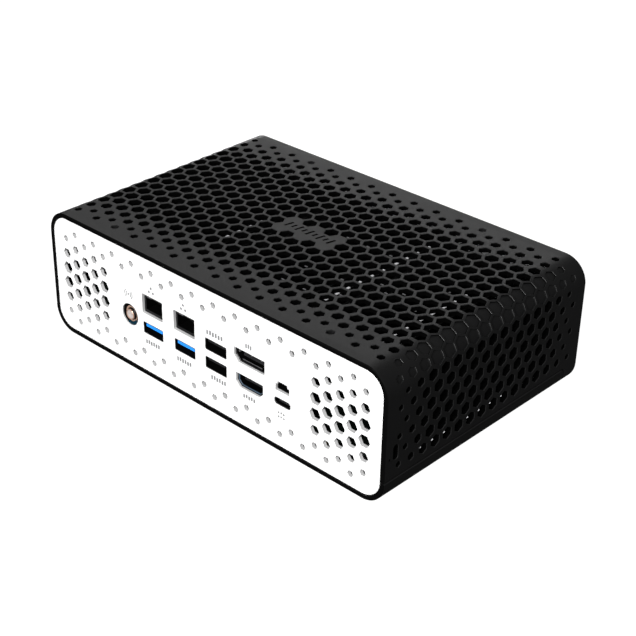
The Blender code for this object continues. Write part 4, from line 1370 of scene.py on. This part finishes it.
    def display_fittings(self, bench: Bench) -> None:
        """The shelf and the three sprung blades in the mouth of the display socket. The blades glow
        as painted glints; the shelf is painted shade with a painted highlight on its chamfer.
        """
        spot = end_spot(Side.REAR, self.panel.face - 1.5)
        blades = [
            slab((u, u + 0.6, v, v + 0.9), 0.12, 2, 9.0, 0.1, spot)
            for u, v in ((20.2, 36.5), (27.2, 37.2), (33.0, 37.2))
        ]
        bench.piece("display_blades", merged(blades), ("dim_glint_glow",), Slot.STEEL)
        spot = end_spot(Side.REAR, self.panel.face - 1.4)
        shelf = slab((22.5, 33.9, 33.65, 34.1), 0.1, 2, 10.0, 0.14, spot)
        # Body in the darker socket finish, painted shade; its chamfer in lens grey, a painted
        # highlight line.
        bench.piece("display_shelf", shelf, ("deep_socket_shade", "lens_grey"), Slot.PORT_PLASTIC)

    def aerial(self, bench: Bench) -> None:
        """The coaxial connector: barrel, insulator and pin, rings, nut and washer."""
        u, v = self.antenna_at
        face = self.panel.face

        def turned(
            name: str, profile: Loop, finish: str, slot: Slot, *stands_for: str
        ) -> None:
            """Makes one piece that is turned round the connector's axis."""
            bm = spun(profile, (u, -face, v), facing(Side.REAR), 48)
            bench.piece(f"aerial_{name}", bm, (finish,), slot, stands_for=stands_for)

        neck: Loop = [(2.05, -0.35), (2.5, -0.35)]
        for k in range(11):
            neck += [(2.5, -0.5 - 0.6 * k), (2.3, -0.8 - 0.6 * k)]
        neck += [(2.5, -7.1), (2.05, -7.1)]
        core = [
            (0.0, 0.12), (0.35, 0.1), (0.5, -0.05), (0.5, -0.3), (0.95, -0.3), (1.05, -0.1),
            (2.0, -0.05), (2.0, -6.5), (0.0, -6.5),
        ]
        turned("barrel", [
            (2.05, 0.0), (2.12, 0.16), (2.4, 0.16), (2.5, 0.06), (2.5, -0.3), (2.05, -0.3),
        ], "socket_gold", Slot.GOLD)
        turned("neck", neck, "socket_black", Slot.PORT_PLASTIC, "antenna_socket")
        turned("core", core, "pearl_insulator", Slot.DIELECTRIC, "antenna_pin")
        turned("ring", [
            (3.0, -1.25), (3.15, -1.1), (3.8, -1.1), (3.95, -1.25), (3.95, -2.1), (3.0, -2.1),
        ], "socket_gold", Slot.GOLD)
        # The collar and the washer are in the darker socket finish: painted shade in the gaps round
        # the connector.
        turned("collar", [
            (4.05, -0.65), (4.15, -0.55), (5.1, -0.55), (5.2, -0.65), (5.2, -3.0), (4.05, -3.0),
        ], "deep_socket_shade", Slot.PORT_PLASTIC)
        tab = [
            polar(u, v, reach, a * math.pi / 24)
            for reach, span in ((5.0, range(-15, -3)), (3.5, range(-4, -16, -1))) for a in span
        ]
        spring = drawn_plate(tab, 0.2, 0.05, [], end_spot(Side.REAR, face - 0.3))
        bench.piece("aerial_spring", spring, ("nut_teal",), Slot.STEEL)
        bore = Cut(circle(u, v, 2.75, 32), 0.1)
        spot = end_spot(Side.REAR, face - 3.2)
        nut = drawn_plate(hexagon(u, v, 5.0), 2.2, 0.25, [bore], spot)
        bench.piece("aerial_nut", nut, ("socket_black",), Slot.STEEL, stands_for=("antenna_nut",))
        turned("washer", [
            (2.75, -5.7), (2.85, -5.6), (6.6, -5.6), (6.7, -5.7), (6.7, -6.2), (2.75, -6.2),
        ], "deep_socket_shade", Slot.PORT_PLASTIC)

    def marks(self, bench: Bench) -> None:
        """Plain grey marks beside the ports: bars, dots and arcs, with no lettering."""
        face = end_spot(Side.REAR, self.panel.face + 0.03)
        groups = {
            "lan_marks": [
                circle(x + du, 44.0 + dv, 0.62, 16)
                for x in (-32.7, -12.0) for du, dv in ((-1.33, 0.0), (1.33, 0.0), (0.0, 2.07))
            ],
            "usb_marks": self.labels(
                (-37.3, -27.8, 17.0, 19.2), (-16.8, -7.2, 17.0, 19.2), (4.8, 14.3, 17.0, 19.2),
                (2.3, 12.7, 38.2, 40.5),
            ),
            "video_marks": self.labels(
                (25.7, 29.7, 41.3, 43.5), (24.3, 31.8, 16.7, 18.7), (44.5, 48.8, 18.3, 19.4),
                (44.5, 48.8, 16.4, 17.4),
            ),
            "aerial_marks": self.arcs(-48.1, 37.5),
        }
        for name, loops in groups.items():
            parts = [drawn_plate(loop, 0.2, 0.0, [], face) for loop in loops]
            bench.piece(name, merged(parts), ("mark_grey",), Slot.WHITE_PLASTIC)

    @staticmethod
    def labels(*places: Sequence[float]) -> list[Loop]:
        """Plain labels: a row of short upright bars between the edges of each place."""
        loops = []
        for u0, u1, v0, v1 in places:
            count = max(3, round((u1 - u0) / 1.6))
            step = (u1 - u0) / count
            for k in range(count):
                low, high = v0 + 0.25 * (k % 2), v1 - 0.25 * ((k + 1) % 2)
                left = u0 + k * step
                loops.append(rounded(left, left + 0.62 * step, low, high, 0.12, 2))
        return loops

    @staticmethod
    def arcs(u: float, v: float) -> list[Loop]:
        """A round dot between two pairs of arcs."""
        loops = [circle(u, v, 0.5, 16)]
        for radius in (1.5, 2.5):
            for turn in (0.0, math.pi):
                outer = [polar(u, v, radius + 0.2, turn + a * 0.14) for a in range(-6, 7)]
                inner = [polar(u, v, radius - 0.2, turn + a * 0.14) for a in range(6, -7, -1)]
                loops.append(outer + inner)
        return loops


@dataclass
class FrontEnd:
    """The front panel with its button, lights and ports."""

    panel: EndPanel
    button_at: Point = (-78.0, 26.0)
    light_at: Point = (-62.0, 26.0)
    jack_at: Point = (42.0, 22.3)

    def build(self, bench: Bench) -> None:
        """Makes the panel and the power button."""
        cuts = [
            Cut(circle(*self.button_at, 7.9, 48), 0.15), Cut(circle(*self.light_at, 1.3, 24), 0.1),
            Cut(circle(*self.jack_at, 3.2, 32), 0.12),
            Cut(rounded(-46.5, -21.5, 19.9, 22.7, 0.4), 0.12),
            Cut(rounded(-10.5, -1.5, 20.0, 23.2, 1.1), 0.12),
            Cut(rounded(11.6, 24.3, 20.0, 25.4, 0.35), 0.12),
        ]
        cuts += self.panel.dots(range(-LAST_PANEL_COLUMN, LAST_PANEL_COLUMN + 1), depth=1.4)
        bench.piece(
            "front_plate", self.panel.plate(cuts), self.panel.finishes, Slot.WHITE_PLASTIC,
            stands_for=("front_panel",),
        )
        self.button(bench)

    def button(self, bench: Bench) -> None:
        """The dished power button and the ring of light round it."""
        x, height = self.button_at
        at = (x, self.panel.face, height)
        cap = [
            (0.0, -0.35), (2.0, -0.32), (4.0, -0.2), (5.3, 0.0), (5.75, -0.08), (6.0, -0.35),
            (6.0, -1.9), (7.0, -1.9), (7.0, -3.2), (2.0, -3.2), (2.0, -8.0), (0.0, -8.0),
        ]
        bench.piece(
            "power_button_cap", spun(cap, at, facing(Side.FRONT), 64), ("tray_black",),
            Slot.BLACK_PLASTIC, body="power_button_body", stands_for=("power_button",),
        )
        ring = [(6.35, -0.25), (6.55, -0.1), (7.4, -0.1), (7.6, -0.25), (7.6, -1.5), (6.35, -1.5)]
        bench.piece(
            "button_halo", spun(ring, at, facing(Side.FRONT), 64), ("lens_white",), Slot.LIGHT_LENS,
            stands_for=("button_light_ring",),
        )


# ---------------------------------------------------------------- inside


class Inside:
    """What is seen through the openings: the CAD pieces, in their own finishes."""

    KEPT = {
        "socket_black": (
            "memory_socket_1", "memory_socket_2", "card_reader", "headset_jack", "button_switch",
            "front_usb_c_port", "memory_latch_1_left", "memory_latch_1_right",
            "memory_latch_2_left", "memory_latch_2_right",
        ),
        "shell_steel": ("front_usb_a_port", "drive_bracket"),
        "fin_black": ("heatsink", "lock_plate", "side_rail_left", "side_rail_right"),
        "copper": ("cold_plate", "heat_pipe_1", "heat_pipe_2"),
        "board": ("motherboard",),
        "module": ("memory_module_1", "memory_module_2", "solid_state_card", "wireless_card"),
        "chip_black": ("processor",),
        "pad_grey": ("thermal_pad",),
        "lens_white": ("status_light",),
        "lead_black": ("antenna_lead",),
        "drive_shell": ("storage_drive",),
        "brass": ("tray_post_left", "tray_post_right"),
        "bright_steel": ("coin_cell",),
    }
    # Clips and ties stand where glints show through the top vents; their glow paints those glints.
    CLIP_TOP = 54.7
    CLIPS = {
        -78.7: (22.6, 15.5, 8.3, -22.3, -29.3),
        -33.5: (18.3, 10.8, 3.7, -3.4, -10.6, -17.7),
        37.2: (37.6, 29.8, 22.6, 15.9, 7.0, -0.2, -8.0, -15.2, -21.9, -28.5),
        76.0: (21.5, 14.3, 7.0, 0.4, -6.9, -14.1, -23.5, -30.7, -37.4),
    }
    TIES = (
        (5.7, 19.7), (17.9, 19.3), (30.7, 19.8), (57.6, 10.9), (69.3, 12.0), (11.3, -13.5),
        (30.3, -11.3), (45.3, -2.8), (57.3, -2.8), (51.3, -7.3), (69.3, -10.2), (12.3, -28.9),
        (24.8, -28.8), (39.3, -21.8),
    )
    CLIP_FOOT = 54.25
    # The contacts stand where glints show in the lowest side vents; their glow paints them.
    CONTACT_X = (99.65, 99.87)
    CONTACT_Y = (-48.1, -40.6, -33.1, -25.6, -10.6, -3.1, 4.4, 11.9)
    CONTACT_Z = 16.9

    def build(self, bench: Bench) -> None:
        """Dresses every CAD node that stays, then adds the clips and contacts."""
        bench.dress({node: finish for finish, nodes in self.KEPT.items() for node in nodes})
        self.clips(bench)
        self.rail_contacts(bench)

    def clips(self, bench: Bench) -> None:
        """Small clips and ties that hold the tops of the fins together; their glow paints glints,
        bright on the clips and dimmer on the ties, seen through the top vents.
        """
        parts = [
            bar((x - 0.55, y - 0.95, self.CLIP_FOOT), (x + 0.55, y + 0.95, self.CLIP_TOP), 0.15)
            for x, row in self.CLIPS.items() for y in row
        ]
        bench.piece("fin_clips", merged(parts), ("fin_glint_glow",), Slot.ALUMINIUM)
        parts = [
            bar((x - 0.8, y - 0.3, self.CLIP_FOOT), (x + 0.8, y + 0.3, self.CLIP_TOP - 0.1), 0.1)
            for x, y in self.TIES
        ]
        bench.piece("fin_ties", merged(parts), ("dim_glint_glow",), Slot.ALUMINIUM)

    def rail_contacts(self, bench: Bench) -> None:
        """Small sprung earthing contacts along the outer edge of each side rail, whose glow paints
        the glints seen low in the side vents.
        """
        parts = []
        for side in (-1, 1):
            for y in self.CONTACT_Y:
                low, high = sorted(side * x for x in self.CONTACT_X)
                bottom, top = self.CONTACT_Z - 0.3, self.CONTACT_Z + 0.3
                parts.append(bar((low, y - 0.5, bottom), (high, y + 0.5, top), 0.08))
        bench.piece("rail_contacts", merged(parts), ("contact_glint_glow",), Slot.STEEL)


@dataclass
class Studio:
    """Camera, floor and lights."""

    azimuth: float = 44.956
    elevation: float = 29.756
    roll: float = 0.035
    distance: float = 662.394
    across: float = -18.397
    up: float = 18.077
    lens: float = 81.45
    shift_x: float = 0.0802
    shift_y: float = -0.0065

    def camera(self) -> None:
        """Sets the camera at its viewing angle."""
        turn, rise = math.radians(self.azimuth), math.radians(self.elevation)
        reach = math.cos(rise)
        back = Vector((math.sin(turn) * reach, -math.cos(turn) * reach, math.sin(rise)))
        right = Vector((math.cos(turn), math.sin(turn), 0.0))
        above = back.cross(right)
        place = self.across * right + self.up * above + self.distance * back + Vector((0, 0, LIFT))
        data = bpy.data.cameras.new("camera")
        data.lens = self.lens
        data.shift_x = self.shift_x
        data.shift_y = self.shift_y
        data.clip_start, data.clip_end = 0.01, 20.0
        made = bpy.data.objects.new("camera", data)
        axes = Matrix((right, above, back)).transposed()
        axes = axes @ Matrix.Rotation(math.radians(self.roll), 3, "Z")
        made.matrix_world = Matrix.Translation(place * MM) @ axes.to_4x4()
        bpy.context.scene.collection.objects.link(made)
        bpy.context.scene.camera = made

    def floor(self) -> None:
        """A large pale floor that only the camera sees, and that is clear from below."""
        bm = bmesh.new()
        bmesh.ops.create_grid(bm, x_segments=4, y_segments=4, size=6.0)
        mesh = bpy.data.meshes.new("floor")
        bm.to_mesh(mesh)
        bm.free()
        made = bpy.data.objects.new("floor", mesh)
        bpy.context.scene.collection.objects.link(made)
        material = bpy.data.materials.new("floor_pale")
        material.use_nodes = True
        wiring = Wiring(material.node_tree)
        shader = material.node_tree.nodes["Principled BSDF"]
        noise = wiring.node("TexNoise", {"Scale": 3.0}).outputs["Fac"]
        below = wiring.node("NewGeometry").outputs["Backfacing"]
        wiring.feed(shader, {
            "Emission Color": wiring.mixed((*grey(0.98), 1.0), (*grey(1.0), 1.0), noise),
            "Alpha": wiring.math("SUBTRACT", 1.0, below),
            "Base Color": (*grey(0.2), 1.0),
            "Emission Strength": 1.02,
            "Roughness": 0.9,
            "Specular IOR Level": 0.0,
        })
        mesh.materials.append(material)
        for ray in ("glossy", "diffuse", "transmission", "shadow"):
            setattr(made, f"visible_{ray}", False)

    @staticmethod
    def softbox(
        name: str, at: Sequence[float], aim: Sequence[float], size: Point, power: float
    ) -> None:
        """One large soft light.

        Args:
            name: the light's name.
            at: where it stands, in metres.
            aim: the point that it faces, in metres.
            size: its width and height, in metres.
            power: in watts.
        """
        data = bpy.data.lights.new(name, "AREA")
        data.shape = "RECTANGLE"
        data.size, data.size_y = size
        data.energy = power
        made = bpy.data.objects.new(name, data)
        made.location = at
        made.rotation_mode = "QUATERNION"
        made.rotation_quaternion = (Vector(aim) - Vector(at)).to_track_quat("-Z", "Y")
        bpy.context.scene.collection.objects.link(made)

    def lights(self) -> None:
        """A dim surround, a key on the rear panel, a sheen on the top and a low front fill."""
        world = bpy.data.worlds.new("surround")
        bpy.context.scene.world = world
        world.use_nodes = True
        wiring = Wiring(world.node_tree)
        way = wiring.node("TexCoord").outputs["Generated"]
        split = wiring.node("SeparateXYZ", {0: way}).outputs
        behind = wiring.math("MULTIPLY_ADD", split["Y"], 0.035, 0.045)
        above = wiring.math("MULTIPLY_ADD", split["Z"], 0.6, 1.0)
        strength = wiring.math("MULTIPLY", behind, above)
        seen = wiring.node("LightPath").outputs["Is Camera Ray"]
        wiring.feed(world.node_tree.nodes["Background"], {
            "Strength": wiring.math("MAXIMUM", strength, seen),
            "Color": (*grey(1.0), 1.0),
        })
        self.softbox("key", (0.6, -1.6, 0.95), (-0.02, 0.0, 0.04), (1.0, 0.8), 66.0)
        self.softbox("top_sheen", (-1.1, 1.1, 0.95), (0.0, 0.0, 0.06), (1.8, 1.0), 3.85)
        self.softbox("front_fill", (-1.1, 1.5, 0.04), (0.0, 0.0, 0.03), (0.8, 0.3), 12.0)

    def build(self) -> None:
        """Sets up the camera, the floor, the lights and the tones."""
        self.camera()
        self.floor()
        self.lights()
        settings = bpy.context.scene.view_settings
        settings.view_transform = "Standard"
        settings.look = "None"


# ---------------------------------------------------------------- the whole


def main() -> None:
    """Builds the studio and every sub-assembly in order."""
    logging.basicConfig(level=logging.INFO, format="%(message)s")
    Studio().build()
    bench = Bench(Paintbox())
    Inside().build(bench)
    Tray().build(bench)
    Hood().build(bench)
    RearEnd(EndPanel(Side.REAR)).build(bench)
    FrontEnd(EndPanel(Side.FRONT)).build(bench)
    LOG.info("%d pieces made", bench.count)


if __name__ == "__main__":
    main()
